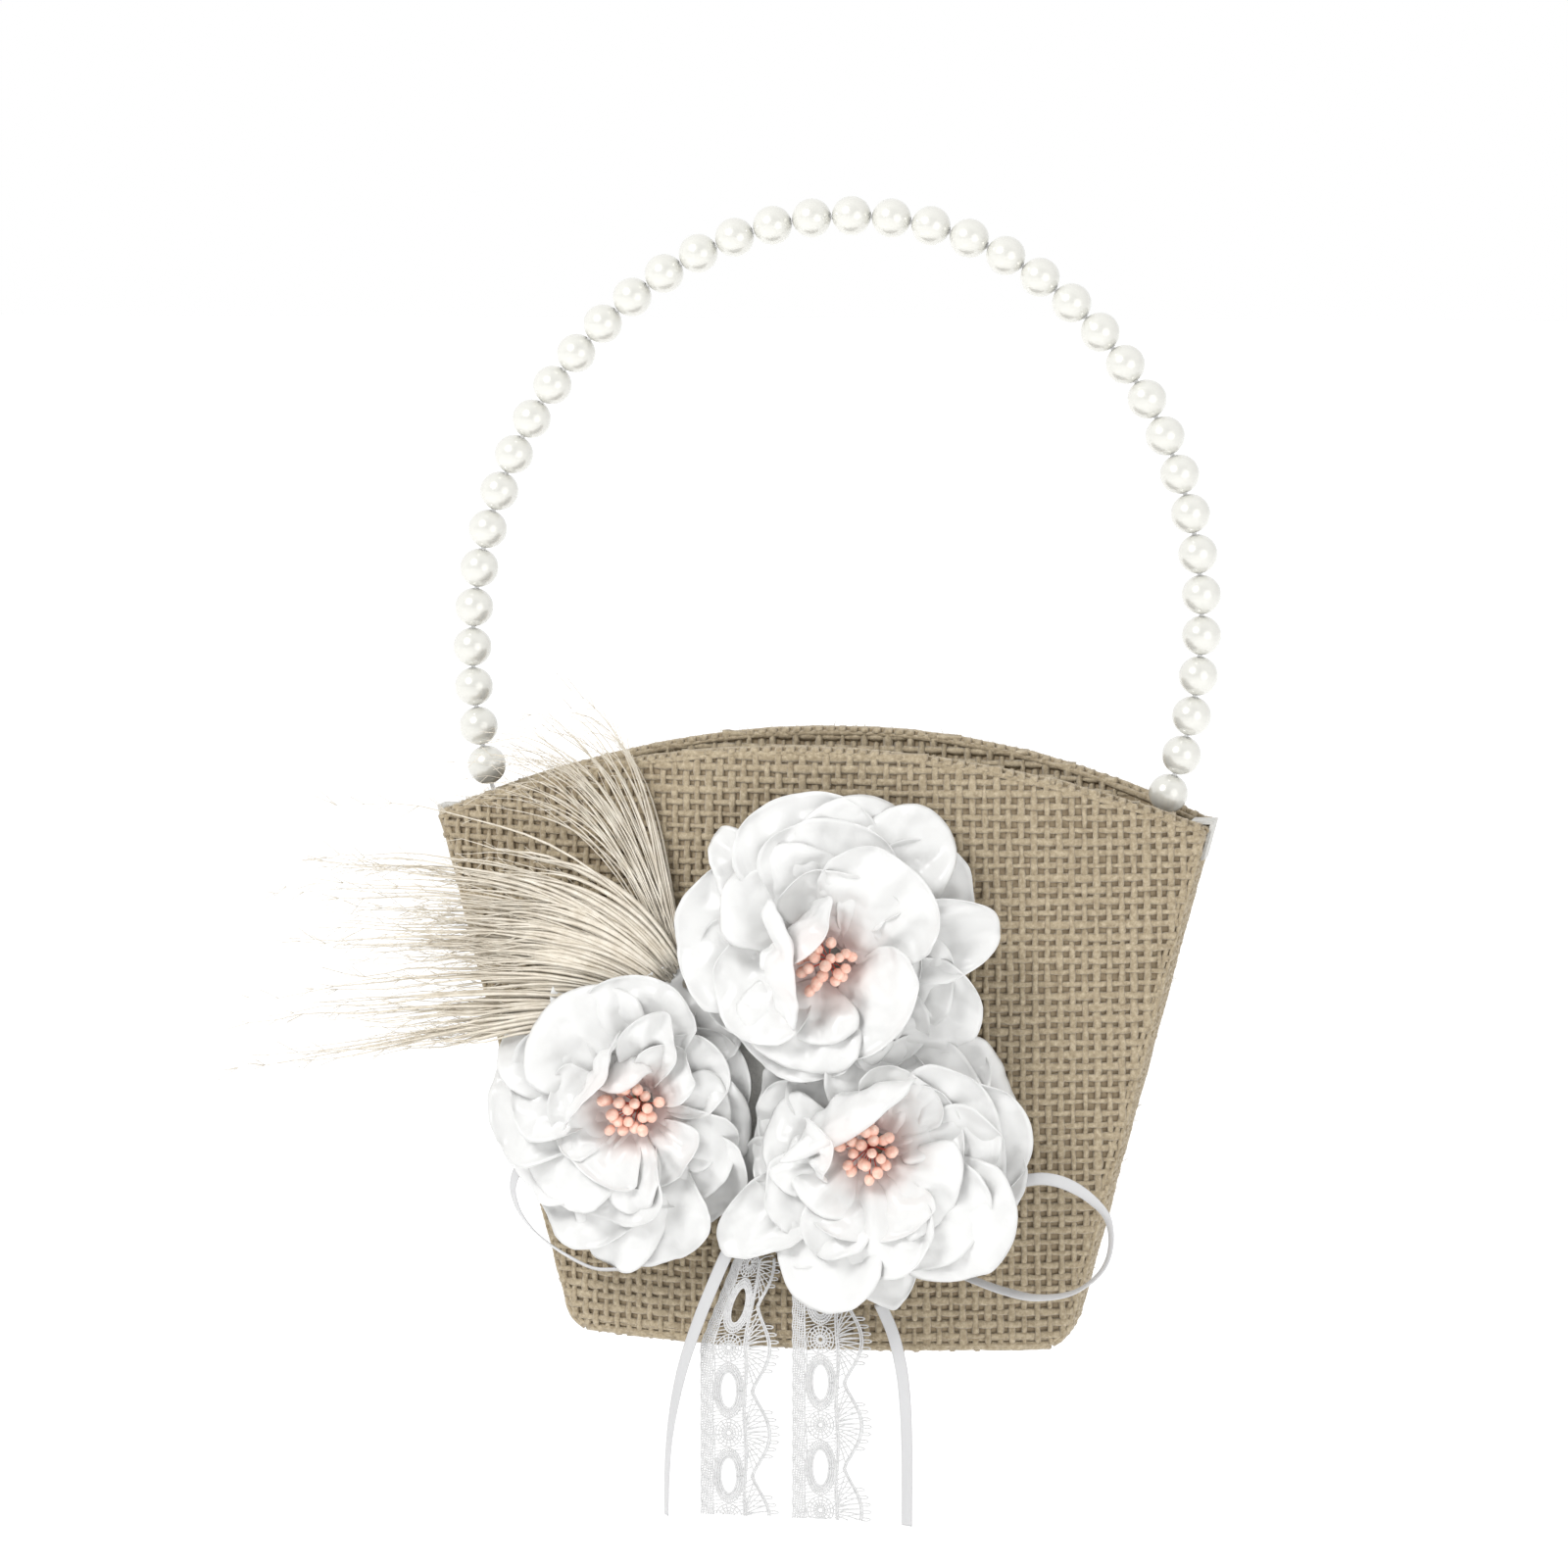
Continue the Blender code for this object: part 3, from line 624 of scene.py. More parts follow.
# Each petal: direction round the stamens in degrees, reach from them, half width, layer, and side curl.
# Layer 0 is flat at the back, 1 stands half up, 2 stands round the stamens, and 3 folds over them.
PETALS = {
    "top": [
        (100, 42, 18, 0, 0.2), (72, 42, 16, 0, 0.1), (54, 45, 13, 0, 0.3), (35, 40, 14, 0, 0.2), (133, 43, 8, 0, 0.5),
        (164, 39, 19, 0, 0.4), (-122, 31, 17, 0, 0.3), (-92, 29, 16, 0, 0.2), (-60, 33, 16, 0, 0.2),
        (-24, 40, 12, 0, 0.4), (12, 43, 9.5, 0, 1.2), (190, 33, 15, 0, 0.3), (88, 35, 17, 1, 0.3),
        (124, 32, 16, 1, 0.5), (46, 33, 17, 1, 0.3), (-28, 31, 18, 1, 0.3), (-112, 28, 17, 1, 0.5),
        (-72, 26, 14, 1, 0.4), (204, 29, 14, 1, 0.5), (28, 24, 15, 2, 0.3), (80, 24, 13, 2, 0.5),
        (-38, 25, 16, 2, 0.1), (-104, 20, 12, 2, 0.3), (178, 21, 16, 3, 0.5), (126, 19, 12, 3, 0.7)],
    "left": [
        (96, 41, 18, 0, 0.2), (60, 37, 14, 0, 0.3), (140, 41, 18, 0, 0.3), (176, 39, 17, 0, 0.4),
        (205, 39, 16, 0, 0.3), (272, 41, 18, 0, 0.2), (308, 35, 14, 0, 0.3), (338, 29, 15, 0, 0.3),
        (22, 29, 14, 0, 0.3), (240, 40, 15, 0, 0.3), (261, 44, 12, 0, 0.3), (86, 33, 15, 1, 0.4),
        (126, 33, 17, 1, 0.5), (162, 33, 15, 1, 0.5), (214, 33, 17, 1, 0.3), (256, 30, 14, 1, 0.4),
        (318, 28, 15, 1, 0.4), (350, 25, 13, 1, 0.4), (30, 27, 11, 1, 0.6), (271, 27, 8, 2, 1.0),
        (300, 21, 12, 2, 0.3), (228, 20, 14, 2, 0.2), (68, 27, 7, 2, 1.5), (186, 21, 12, 2, 0.4), (42, 21, 8, 2, 1.1),
        (140, 18, 14, 3, 0.5), (100, 17, 8, 3, 1.0)],
    "right": [
        (60, 36, 18, 0, 0.2), (28, 38, 17, 0, 0.3), (4, 40, 16, 0, 0.2), (-20, 39, 15, 0, 0.2), (-40, 43, 17, 0, 0.2),
        (-85, 41, 9, 0, 0.1), (-110, 44.5, 13, 0, 0.4), (-146, 36, 17, 0, 0.3), (-122, 37, 14, 0, 0.3),
        (176, 30, 15, 0, 0.3), (108, 26, 17, 0, 0.3), (148, 31, 15, 0, 0.3), (44, 32, 16, 1, 0.4),
        (14, 33, 17, 1, 0.4), (-14, 34, 17, 1, 0.3), (-48, 34, 18, 1, 0.2), (-90, 32, 17, 1, 0.3),
        (-132, 30, 15, 1, 0.4), (178, 27, 12, 1, 0.7), (80, 26, 14, 1, 0.4), (16, 24, 14, 2, 0.5),
        (-38, 25, 15, 2, 0.2), (-88, 23, 16, 2, 0.1), (-148, 21, 12, 2, 0.3), (56, 23, 11, 2, 0.6),
        (118, 21, 19, 3, 0.4), (178, 19, 8, 3, 0.8), (-145, 47, 9, 0, 0.3)],
}
# For each layer: root radius, root height, slope at the root and at the tip in degrees, and the slope's growth.
LAYERS = [(3.0, 6.0, 28, -20, 0.8), (4.0, 8.0, 42, -12, 0.75), (5.0, 9.5, 50, 2, 0.8), (12.0, 11.5, 62, 172, 1.1)]
PETAL_ROWS = 34
PETAL_COLUMNS = 34
PETAL_STACK = 0.22           # how much further out each next petal of five lies
SATIN_THICKNESS = 0.2
BLUSH_REACH = 15.0           # how far the pink spreads from the stamens
BLUSH_SHARE = 0.55
FLOWER_TILT = 0.45           # how far a flower follows the wall's slope
STAMEN_HEIGHT = 17.6         # the stamens' middle above the flower's own origin
PIPS = 22
PIP_TURN = 2.39996           # golden angle


def flower_place(word):
    """Turns a flower's own (right, up, out) millimetres, from its stamens, into base millimetres."""
    low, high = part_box(f"stamens_{word}")
    centre = ((Vector(low) + Vector(high)) / 2 - BASE) / MM
    x, z = centre.x, centre.z
    slope = FLOWER_TILT * 2 * bow(z) * x / float(half_width(z)) ** 2
    out = unit(np.array([slope, -1.0, 0]))
    up = np.array([0, 0, 1.0])
    across = np.cross(up, out)
    return np.array([centre.x, centre.y, centre.z]) - out * STAMEN_HEIGHT, np.stack([across, up, out])


def petal_points(angle, reach, half, layer, curl, seed):
    """One petal's points, as a grid from its root to its tip."""
    root, rise, start, end, growth = LAYERS[layer]
    rng = random.Random(seed)
    start += rng.uniform(-9, 9)
    end += rng.uniform(-14, 10)
    t = np.linspace(0, 1, 60)
    slopes = np.radians(start + (end - start) * t ** growth)
    length = reach if layer == 3 else (reach - root) / np.cos(slopes).mean()
    out_run = root + length * (np.cumsum(np.cos(slopes)) - np.cos(slopes[0])) / len(t)
    up_run = rise + length * (np.cumsum(np.sin(slopes)) - np.sin(slopes[0])) / len(t)
    # A square grid drawn into a disc, so that the petal's edge is round and its points stay even.
    s, w = np.meshgrid(np.linspace(-1, 1, PETAL_COLUMNS), np.linspace(-1, 1, PETAL_ROWS))
    uu = s * np.sqrt(1 - w ** 2 / 2)
    vv = (w * np.sqrt(1 - s ** 2 / 2) + 1) / 2
    slope = np.interp(vv, t, slopes)
    r, c = np.interp(vv, t, out_run), np.interp(vv, t, up_run)
    across = uu * half * (0.40 + 0.66 * np.minimum(1, vv / 0.62) ** 0.8)
    across *= 1 + 0.06 * np.sin(vv * 8 + rng.uniform(0, 6))
    phase = [rng.uniform(0, 2 * math.pi) for _ in range(6)]
    lean = rng.uniform(0.02, 0.24)
    lift = curl * 0.34 * half * uu ** 2 * np.sin(math.pi * np.minimum(vv * 0.75 + 0.12, 1))
    lift += lean * across * np.minimum(1, vv * 2)
    # Ruffled sides, a wavy tip, fine creases, one ridge, a rolled edge, and uneven cloth.
    lift += 1.7 * np.abs(uu) ** 1.6 * vv * np.sin(7 * vv + phase[0] + 1.4 * np.sign(uu))
    lift += 1.5 * vv ** 3 * np.sin(4.6 * uu + phase[1])
    crease = np.sin(6.5 * uu + 1.5 * vv + phase[2]) + 0.6 * np.sin(12 * uu - 2 * vv + phase[3])
    lift += 0.34 * crease * np.sin(math.pi * np.minimum(1, vv * 1.1)) ** 0.7
    ridge = (uu - rng.uniform(-0.45, 0.45) - 0.4 * (vv - 0.4)) / 0.14
    lift += rng.choice((-1.4, 1.2, 2.0)) * np.exp(-ridge ** 2) * np.sin(math.pi * vv ** 0.8)
    edge = np.maximum(np.abs(s), w)
    lift += rng.choice((1, 1, -1)) * 1.2 * np.clip((edge - 0.78) / 0.22, 0, 1) ** 2
    for row in range(PETAL_ROWS):
        for column in range(PETAL_COLUMNS):
            where = Vector((across[row, column] / 7, length * vv[row, column] / 7, seed * 3.7))
            lift[row, column] += 2.1 * noise.noise(where) * min(1, vv[row, column] * 3)
            lift[row, column] += 0.55 * noise.noise(where * 2.6) * min(1, vv[row, column] * 3)
    lift *= np.minimum(1, vv * 4 + 0.15)
    radial = r - np.sin(slope) * lift
    out = c + np.cos(slope) * lift
    sine, cosine = math.sin(math.radians(angle)), math.cos(math.radians(angle))
    return np.stack([radial * cosine - across * sine, radial * sine + across * cosine, out], -1).reshape(-1, 3)


def build_flower(word, satin):
    origin, turn = flower_place(word)
    points, faces, blush = [], [], []
    for number, (angle, reach, half, layer, curl) in enumerate(PETALS[word]):
        local = petal_points(angle, reach, half, layer, curl, number * 7 + len(word) * 101 + ord(word[0]))
        local[:, 2] += PETAL_STACK * (number % 5)
        start = sum(len(block) for block in points)
        points.append(origin + local @ turn)
        blush.append(np.clip(1 - np.linalg.norm(local * (1, 1, 0.35), axis=1) / BLUSH_REACH, 0, 1) * BLUSH_SHARE)
        for row in range(PETAL_ROWS - 1):
            for column in range(PETAL_COLUMNS - 1):
                a = start + row * PETAL_COLUMNS + column
                faces.append((a, a + 1, a + PETAL_COLUMNS + 1, a + PETAL_COLUMNS))
    flower = add_mesh(f"petals_{word}", np.concatenate(points), faces, satin)
    mark = flower.data.attributes.new("blush", "FLOAT", "POINT")
    mark.data.foreach_set("value", np.concatenate(blush))
    shell = flower.modifiers.new("thickness", "SOLIDIFY")
    shell.thickness = SATIN_THICKNESS * MM
    shell.offset = 0
    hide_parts(f"flower_{word}")


def build_stamens(word, pip_material, thread_material):
    """Pips on short filaments that fan out of the flower's middle."""
    origin, turn = flower_place(word)
    rng = random.Random(len(word) * 13 + ord(word[0]))
    threads = Tubes(6)
    pips = bmesh.new()
    for i in range(PIPS):
        spread = math.radians(4 + 36 * math.sqrt(i / (PIPS - 1)) + rng.uniform(-4, 4))
        around = i * PIP_TURN + rng.uniform(-0.25, 0.25)
        length = rng.uniform(9.5, 12.0)
        way = np.array([math.sin(spread) * math.cos(around), math.sin(spread) * math.sin(around), math.cos(spread)])
        t = np.linspace(0, 1, 6)[:, None]
        local = np.array([0, 0, 8.5]) + way * length * t + np.array([0, 0, 0.8]) * np.sin(math.pi * t)
        path = origin + local @ turn
        threads.add(path, (0.3, 0.2, 0.9), 0.16, 0.16)
        direction = Vector(path[-1] - path[-2]).normalized()
        stretched = standing(Vector(path[-1]), direction) @ Matrix.Diagonal((1, 1, 1.25, 1))
        bmesh.ops.create_icosphere(pips, subdivisions=3, radius=rng.uniform(1.2, 1.5), matrix=stretched)
    stems = threads.build(f"filaments_{word}", thread_material)
    points = [vert.co[:] for vert in pips.verts]
    faces = [[vert.index for vert in face.verts] for face in pips.faces]
    tips = add_mesh(f"pips_{word}", points, faces, pip_material)
    pips.free()
    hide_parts(f"stamens_{word}")


# Feathers

def bezier(points, t):
    a, b, c, d = (np.array(point, float) for point in points)
    t = t[:, None]
    return a * (1 - t) ** 3 + 3 * b * t * (1 - t) ** 2 + 3 * c * t ** 2 * (1 - t) + d * t ** 3


def add_barb(tubes, hairs, points, rng, width, depth, hair_share):
    """One barb on a Bezier curve (x, z), and a few finer hairs near its tip."""
    t = np.linspace(0, 1, 16)
    flat = bezier(points, t)
    wave = rng.uniform(0.3, 1.7) * t ** 3 * np.sin(t * rng.uniform(9, 21) + rng.uniform(0, 6))
    y = -(depth + rng.uniform(-0.9, 0.9) + rng.uniform(-2.4, 2.4) * t ** 2)
    path = np.stack([flat[:, 0], y, flat[:, 1] + wave], 1)
    taper = np.interp(t, (0, 0.4, 0.62, 0.8, 1), (0.9, 1.0, 0.55, 0.24, 0.1))
    tubes.add(path, (0, -1, 0), width * taper, width * 0.35 * taper)
    for _ in range(int(hair_share * 9)):
        k = rng.randrange(8, 15)
        stray = [rng.uniform(-0.3, 0.3), rng.uniform(-0.4, 0.4), rng.uniform(-0.75, 0.75)]
        way = unit(path[k + 1] - path[k - 1]) + np.array(stray)
        reach = rng.uniform(1.5, 5.5)
        step = np.linspace(0, 1, 4)[:, None]
        hairs.add(path[k] + way * reach * step, (0, -1, 0), 0.08, 0.05)


# The lower feather's bands: share of the fan where each starts and ends, and its number of barbs.
LOWER_BANDS = [(0.00, 0.08, 42), (0.12, 0.19, 26), (0.26, 0.31, 14), (0.38, 0.49, 48), (0.53, 0.64, 60),
               (0.68, 0.78, 44), (0.84, 0.90, 10), (0.94, 1.0, 6)]
LOWER_DEPTH = 30             # how far its barbs lie in front of the middle plane
LEFTMOST = -150
UPPER_STARTS = (0.0, 0.2, 0.38, 0.42, 0.7, 0.9)
UPPER_BARBS = 60
UPPER_DEPTH = 28
TOPMOST = 171


def towards(start, angle, length):
    return start[0] + length * math.cos(angle), start[1] + length * math.sin(angle)


def build_feathers(material):
    """Two fans of barbs, rooted behind the flowers. s runs over a fan, from its low side to its high one."""
    rng = random.Random(11)
    fray = random.Random(5)
    lower, lower_hairs = Tubes(4), Tubes(3)
    for low, high, count in LOWER_BANDS:
        for _ in range(count):
            s = low + (high - low) * rng.random()
            reach = rng.betavariate(0.7, 2.3)
            rooted = (-30 - 12 * (1 - s) + rng.uniform(-1.5, 1.5), 82 + 16 * s + rng.uniform(-1, 1))
            angle = math.radians(187 - 29 * s + rng.gauss(0, 1.2) * (0.6 + reach))
            length = (48 + 74 * reach) * (1 - 0.06 * s)
            tip = towards(rooted, angle, length)
            tip = (tip[0], tip[1] + 5 * s)
            bend = towards(rooted, math.radians(178 - 60 * s), 0.42 * length)
            before = towards(tip, math.radians(182 - 10 * s), -0.36 * length)
            before = (before[0], before[1] + 4 * s)
            tip = (max(tip[0], LEFTMOST), tip[1])
            width = rng.uniform(0.45, 0.8) * (1 - 0.6 * reach)
            add_barb(lower, lower_hairs, (rooted, bend, before, tip), rng, width, LOWER_DEPTH,
                     fray.random() * (0.1 + reach) * 2.5)
    upper, upper_hairs = Tubes(4), Tubes(3)
    for _ in range(UPPER_BARBS):
        s = rng.choice(UPPER_STARTS) + rng.uniform(0, 0.12)
        rooted = (-30 + rng.uniform(-2.5, 1.5), 93 + rng.uniform(-4, 3))
        reach = rng.betavariate(1.5, 1.5)
        length = 50 + 26 * reach
        tip = (-98 + 28 * s + (1 - reach) * 18 + rng.gauss(0, 1.5), 137 + 19 * s + rng.gauss(0, 2) + 6 * reach)
        bend = towards(rooted, math.radians(114 - 14 * s), 0.62 * length)
        before = (tip[0] + 25 - 8 * s, tip[1] + 4 - 5 * s)
        tip = (tip[0], min(tip[1], TOPMOST))
        add_barb(upper, upper_hairs, (rooted, bend, before, tip), rng, rng.uniform(0.14, 0.34), UPPER_DEPTH,
                 fray.random() * 0.7)
    for word, barbs, hairs in (("lower", lower, lower_hairs), ("upper", upper, upper_hairs)):
        main = barbs.build(f"barbs_{word}", material)
        fine = hairs.build(f"barb_hairs_{word}", material)
        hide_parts(f"feather_{word}")


# Lace

LACE_WIDTH = 20.5
LACE_PITCH = 21.5            # from ring to ring
LACE_FRONT = 25.2            # how far it hangs in front of the middle plane
LACE_END = -42.0
HEADER_THREADS = (0.25, 0.8, 1.35, 1.9, 2.5, 3.1)
RING_CENTRE = 7.2            # across the strip, as are the next two
NET_EDGE = 11.0
FAN_ROOT = 11.6
RINGS = [(2.1, 4.6, 0.3), (2.65, 5.3, 0.3), (3.2, 6.1, 0.28), (3.7, 6.9, 0.22)]  # half width, half height, thread
RING_STITCHES = 40
KNOT_SPOKES = 16
FAN_THREADS = 14
PICOTS = 7
PICOT = [(0, -0.32), (1.6, -0.34), (2.3, 0), (1.6, 0.34), (0, 0.32)]
# Tail: left edge, top, height of the lowest ring's middle over the end, and how far its top is gathered.
LACE_TAILS = {"left": (-26.4, 24.0, 10.0, 9.2), "right": (-3.2, 14.5, 13.0, 0.0)}


def lace_thread(tubes, points, radius, warp, spacing=0.5):
    """A thread through the points (across, down), laid in the lace's plane."""
    path = smooth_route([(x, 0, z) for x, z in points], spacing)
    path[:, 1] = -LACE_FRONT
    path[:, 0] = warp(path[:, 0], path[:, 2])
    keep = path[:, 2] >= LACE_END
    if keep.sum() > 2:
        tubes.add(path[keep], (0, -1, 0), radius, radius * 0.7)


def oval(cx, cz, wide, high, count=20):
    turns = [2 * math.pi * i / count for i in range(count + 1)]
    return [(cx + wide * math.cos(turn), cz + high * math.sin(turn)) for turn in turns]


def scallop(base, depth, share):
    """Across the strip, where a fan's edge is at this share of its height."""
    return base + depth * math.sin(math.pi * share) ** 1.3


def build_lace(word, material):
    """A torchon-style lace tail: woven header, oval rings, a net, and fans with picots on its right edge."""
    left, top, phase, gather = LACE_TAILS[word]

    def warp(x, z):
        rise = np.clip((z - 1.0) / 23.0, 0, 1)
        return left + LACE_WIDTH - (LACE_WIDTH - x) * (1 - gather * rise / LACE_WIDTH)

    tubes = Tubes(5)

    def lay(points, radius, spacing=0.5):
        lace_thread(tubes, points, radius, warp, spacing)

    levels = np.arange(LACE_END, top, 1.0)
    for i, x in enumerate(HEADER_THREADS):
        lay([(x + 0.12 * math.sin(z * 1.7 + i), z) for z in levels], 0.2)
    for z in np.arange(LACE_END + 0.3, top - 0.3, 0.62):
        lay([(0.15, z), (1.2, z + 0.22), (2.2, z - 0.1), (3.25, z + 0.15)], 0.15)
    count = int((top - LACE_END) / LACE_PITCH) + 2
    for k in range(-1, count):
        middle = LACE_END + phase + k * LACE_PITCH
        if middle - LACE_PITCH / 2 > top:
            continue
        for wide, high, radius in RINGS:
            route = [point for point in oval(RING_CENTRE, middle, wide, high) if point[1] <= top]
            if len(route) > 6:
                lay(route, radius)
        for i in range(RING_STITCHES):
            turn = 2 * math.pi * i / RING_STITCHES
            a = (RING_CENTRE + 2.0 * math.cos(turn), middle + 4.5 * math.sin(turn))
            b = (RING_CENTRE + 3.75 * math.cos(turn + 0.12), middle + 7.0 * math.sin(turn + 0.12))
            if max(a[1], b[1]) < top:
                lay([a, b], 0.17)
        knot = middle + LACE_PITCH / 2
        for i in range(KNOT_SPOKES):
            turn = 2 * math.pi * (i + 0.5) / KNOT_SPOKES
            a = (RING_CENTRE + 0.5 * math.cos(turn), knot + 0.5 * math.sin(turn))
            b = (RING_CENTRE + 3.4 * math.cos(turn), knot + 3.6 * math.sin(turn))
            if max(a[1], b[1]) < top:
                lay([a, b], 0.2)
        if knot + 1 < top:
            lay(oval(RING_CENTRE, knot, 1.0, 1.0, count=10), 0.3)
            for ring in (1.7, 2.5, 3.3):
                lay(oval(RING_CENTRE, knot, ring, ring * 1.05, count=14), 0.18)
        edge = [(scallop(13.4, 4.4, i / 14), knot + (i / 14 - 0.5) * LACE_PITCH) for i in range(15)]
        edge = [point for point in edge if point[1] < top]
        if len(edge) > 3:
            for inset in (0, 0.55):
                lay([(x - inset, z) for x, z in edge], 0.24)
        for i in range(FAN_THREADS):
            share = (i + 0.5) / FAN_THREADS
            z = knot + (share - 0.5) * LACE_PITCH * 0.92
            root = knot + (share - 0.5) * 7.5
            out = scallop(13.2, 4.3, share)
            if z < top - 1:
                lay([(FAN_ROOT, root), ((FAN_ROOT + out) / 2, (z + root) / 2 + 0.2), (out, z)], 0.19)
                lay([(11.4, z), (13.0, z + 0.9), (out - 0.4, z + 1.4)], 0.15)
        for i in range(PICOTS):
            share = 0.24 + 0.52 * i / (PICOTS - 1)
            z = knot + (share - 0.5) * LACE_PITCH
            base = scallop(13.3, 4.4, share)
            if z < top - 1:
                lay([(base + x, z + rise) for x, rise in PICOT], 0.17, 0.3)
        # The net fills the strip beside the rings and the knots.
        for z in np.arange(-10.3, 10.4, 0.95):
            in_ring = max(0, 1 - (z / 6.9) ** 2)
            in_knot = max(0, 1 - ((LACE_PITCH / 2 - abs(z)) / 3.6) ** 2)
            gap = 3.7 * math.sqrt(in_ring) or 3.4 * math.sqrt(in_knot)
            if middle + z + 0.5 < top:
                lay([(3.4, middle + z), (RING_CENTRE - gap, middle + z + 0.45)], 0.14)
                lay([(RING_CENTRE + gap, middle + z - 0.45), (NET_EDGE, middle + z)], 0.14)
    for x, radius in ((3.45, 0.2), (11.1, 0.26), (FAN_ROOT, 0.2)):
        lay([(x + 0.25 * math.sin(2 * math.pi * (z - LACE_END - phase) / LACE_PITCH), z) for z in levels], radius)
    for z in np.arange(LACE_END + 0.4, top - 1, 1.05):
        lay([(10.7, z), (11.9, z + 0.6)], 0.14)
    lace = tubes.build(f"lace_trim_{word}", material, f"lace_{word}")
    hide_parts(f"lace_{word}")


# Camera, light and floor

CAMERA_AZIMUTH, CAMERA_ELEVATION = 11, 6  # degrees
CAMERA_DISTANCE = 1.4        # metres
CAMERA_WIDTH = 0.3912        # metres of the basket's plane that the picture shows
CAMERA_AIM = (-10.1, 0, 138.4)
KEY_LIGHT = ((-500, -900, 900), 0.5, 9)  # place, size in metres, watts
FILL_LIGHT = ((900, -900, 300), 1.0, 3)
FRONT_SKY = 0.5              # brightness of the sky in front, which fades to 1 at the sides and behind
FLOOR_LEVEL = -420
FLOOR_REACH = 30             # metres
FLOOR_GLOW = 0.3


def build_camera():
    azimuth, elevation = math.radians(CAMERA_AZIMUTH), math.radians(CAMERA_ELEVATION)
    flat = math.cos(elevation)
    back = Vector((math.sin(azimuth) * flat, -math.cos(azimuth) * flat, math.sin(elevation)))
    camera = bpy.data.cameras.new("camera")
    camera.sensor_width = 36
    camera.lens = camera.sensor_width * CAMERA_DISTANCE / CAMERA_WIDTH
    obj = new_object("camera", camera)
    obj.location = place(*CAMERA_AIM) + back * CAMERA_DISTANCE
    obj.rotation_euler = back.to_track_quat("Z", "Y").to_euler()
    bpy.context.scene.camera = obj


def area_light(name, location, size, power):
    light = bpy.data.lights.new(name, "AREA")
    light.shape = "DISK"
    light.size = size
    light.energy = power
    obj = new_object(name, light)
    obj.location = place(*location)
    obj.rotation_euler = (obj.location - place(0, 0, 100)).to_track_quat("Z", "Y").to_euler()


def build_studio():
    world = bpy.data.worlds.new("studio")
    world.use_nodes = True
    nodes, links = world.node_tree.nodes, world.node_tree.links
    place_node, split, fade = (nodes.new("ShaderNode" + kind) for kind in ("TexCoord", "SeparateXYZ", "MapRange"))
    for socket, value in (("From Min", -0.75), ("From Max", -0.2), ("To Min", FRONT_SKY), ("To Max", 1.0)):
        fade.inputs[socket].default_value = value
    backdrop = nodes["Background"]
    links.new(place_node.outputs["Generated"], split.inputs["Vector"])
    links.new(split.outputs["Y"], fade.inputs["Value"])
    links.new(fade.outputs["Result"], backdrop.inputs["Strength"])
    backdrop.inputs["Color"].default_value = (1, 1, 1, 1)
    bpy.context.scene.world = world
    bpy.context.scene.view_settings.view_transform = "Standard"
    area_light("key", *KEY_LIGHT)
    area_light("fill", *FILL_LIGHT)
    floor = bpy.data.meshes.new("floor")
    corners = [(FLOOR_REACH * x, FLOOR_REACH * y, 0) for x, y in ((-1, -1), (1, -1), (1, 1), (-1, 1))]
    floor.from_pydata(corners, [], [(0, 1, 2, 3)])
    obj = new_object("floor", floor)
    obj.location = place(0, 0, FLOOR_LEVEL)
    s = Shader("floor_paint")
    s.paint(s.ramp(s.noise(3, 2), [(0.3, (0.93, 0.93, 0.93)), (0.7, (0.96, 0.96, 0.96))]))
    s.set(Roughness=0.95, Emission_Color=(1, 1, 1, 1), Emission_Strength=FLOOR_GLOW)
    floor.materials.append(s.material)


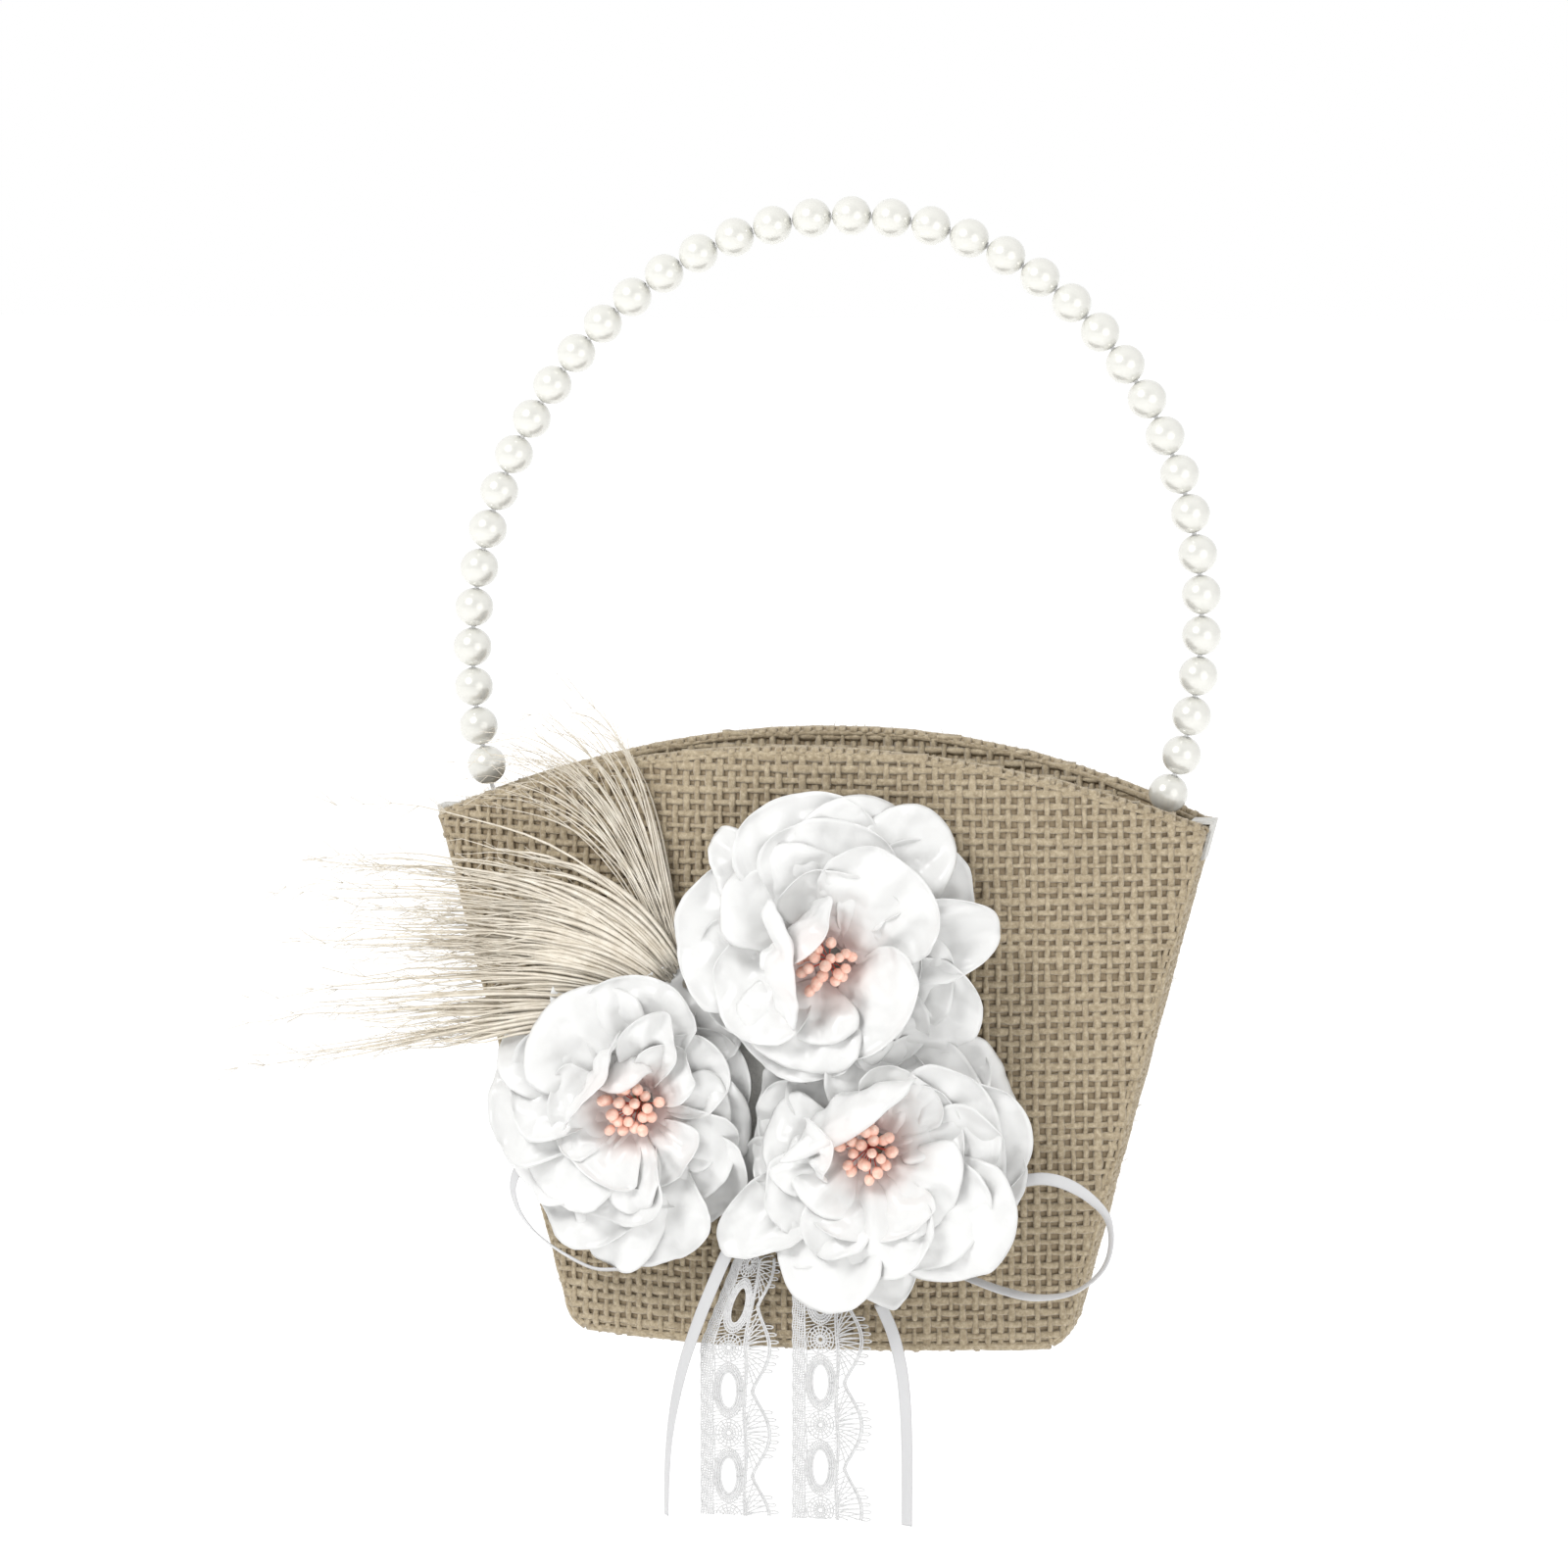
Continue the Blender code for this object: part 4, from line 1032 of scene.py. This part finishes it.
def build_burlap():
    outer = yarn_material("jute", (0.27, 0.208, 0.13), (0.415, 0.34, 0.228), (0.57, 0.485, 0.345))
    # Painted light: the lining is the cover's jute in lighter tones, to brighten the shade inside the tub.
    inner = yarn_material("jute_inside_painted_light", (0.30, 0.235, 0.15), (0.47, 0.39, 0.265), (0.62, 0.53, 0.385))
    core = plain_material("wall_skin", (0.25, 0.19, 0.12), (0.37, 0.295, 0.195), rough=0.95, scale=700)
    pieces = []
    for word, facing in (("front", -1), ("back", 1)):
        pieces += wall_yarns(word, facing, outer, inset=0.0, lift=COVER_LIFT, sides=6)
        pieces += wall_yarns(f"{word}_lining", facing, inner, inset=WALL, lift=LINING_LIFT, sides=4)
    for side in (-1, 1):
        pieces.append(side_yarns(side, outer, inset=0.0, lift=COVER_LIFT, sides=5))
        pieces.append(side_yarns(side, inner, inset=WALL, lift=LINING_LIFT, sides=4))
    pieces += [base_yarns(outer), rim_wraps(outer), edge_yarns(outer), fuzz(outer)]
    skin = wall_core(core)
    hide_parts("outer_cover", "card_form", "inner_lining")


def paint_carried(name, material):
    """Gives a model node that stays in sight its finish."""
    for slot in bpy.data.objects[name].material_slots:
        slot.material = material


build_camera()
build_studio()
build_burlap()
build_beads(pearl_material())
satin = satin_material("petal_satin", (0.735, 0.735, 0.725), blush=True)
pips = plain_material("pip_wax", (0.88, 0.46, 0.35), (0.96, 0.72, 0.61), rough=0.4, scale=700, bump=0.2)
filaments = plain_material("filament", (0.66, 0.09, 0.07), (0.80, 0.24, 0.18), rough=0.6, scale=900, bump=0.2)
for word in PETALS:
    build_flower(word, satin)
    build_stamens(word, pips, filaments)
build_feathers(plain_material("barb", (0.60, 0.535, 0.43), (0.80, 0.745, 0.645), rough=0.55, scale=260, bump=0.2))
cotton = plain_material("cotton_thread", (0.55, 0.55, 0.55), (0.69, 0.69, 0.69), rough=0.85, scale=1200, bump=0.5)
for word in LACE_TAILS:
    build_lace(word, cotton)
build_ribbons(satin_material("ribbon_satin", (0.56, 0.56, 0.565)))
felt = plain_material("felt", (0.52, 0.515, 0.49), (0.66, 0.65, 0.62), rough=0.95, scale=1500, bump=0.8)
for name in ("felt_pad", "anchor_tab_left", "anchor_tab_right"):
    paint_carried(name, felt)
wire = plain_material("wire", (0.75, 0.75, 0.74), (0.85, 0.85, 0.84), rough=0.3, scale=900, bump=0.1, metallic=0.4)
paint_carried("handle_wire", wire)
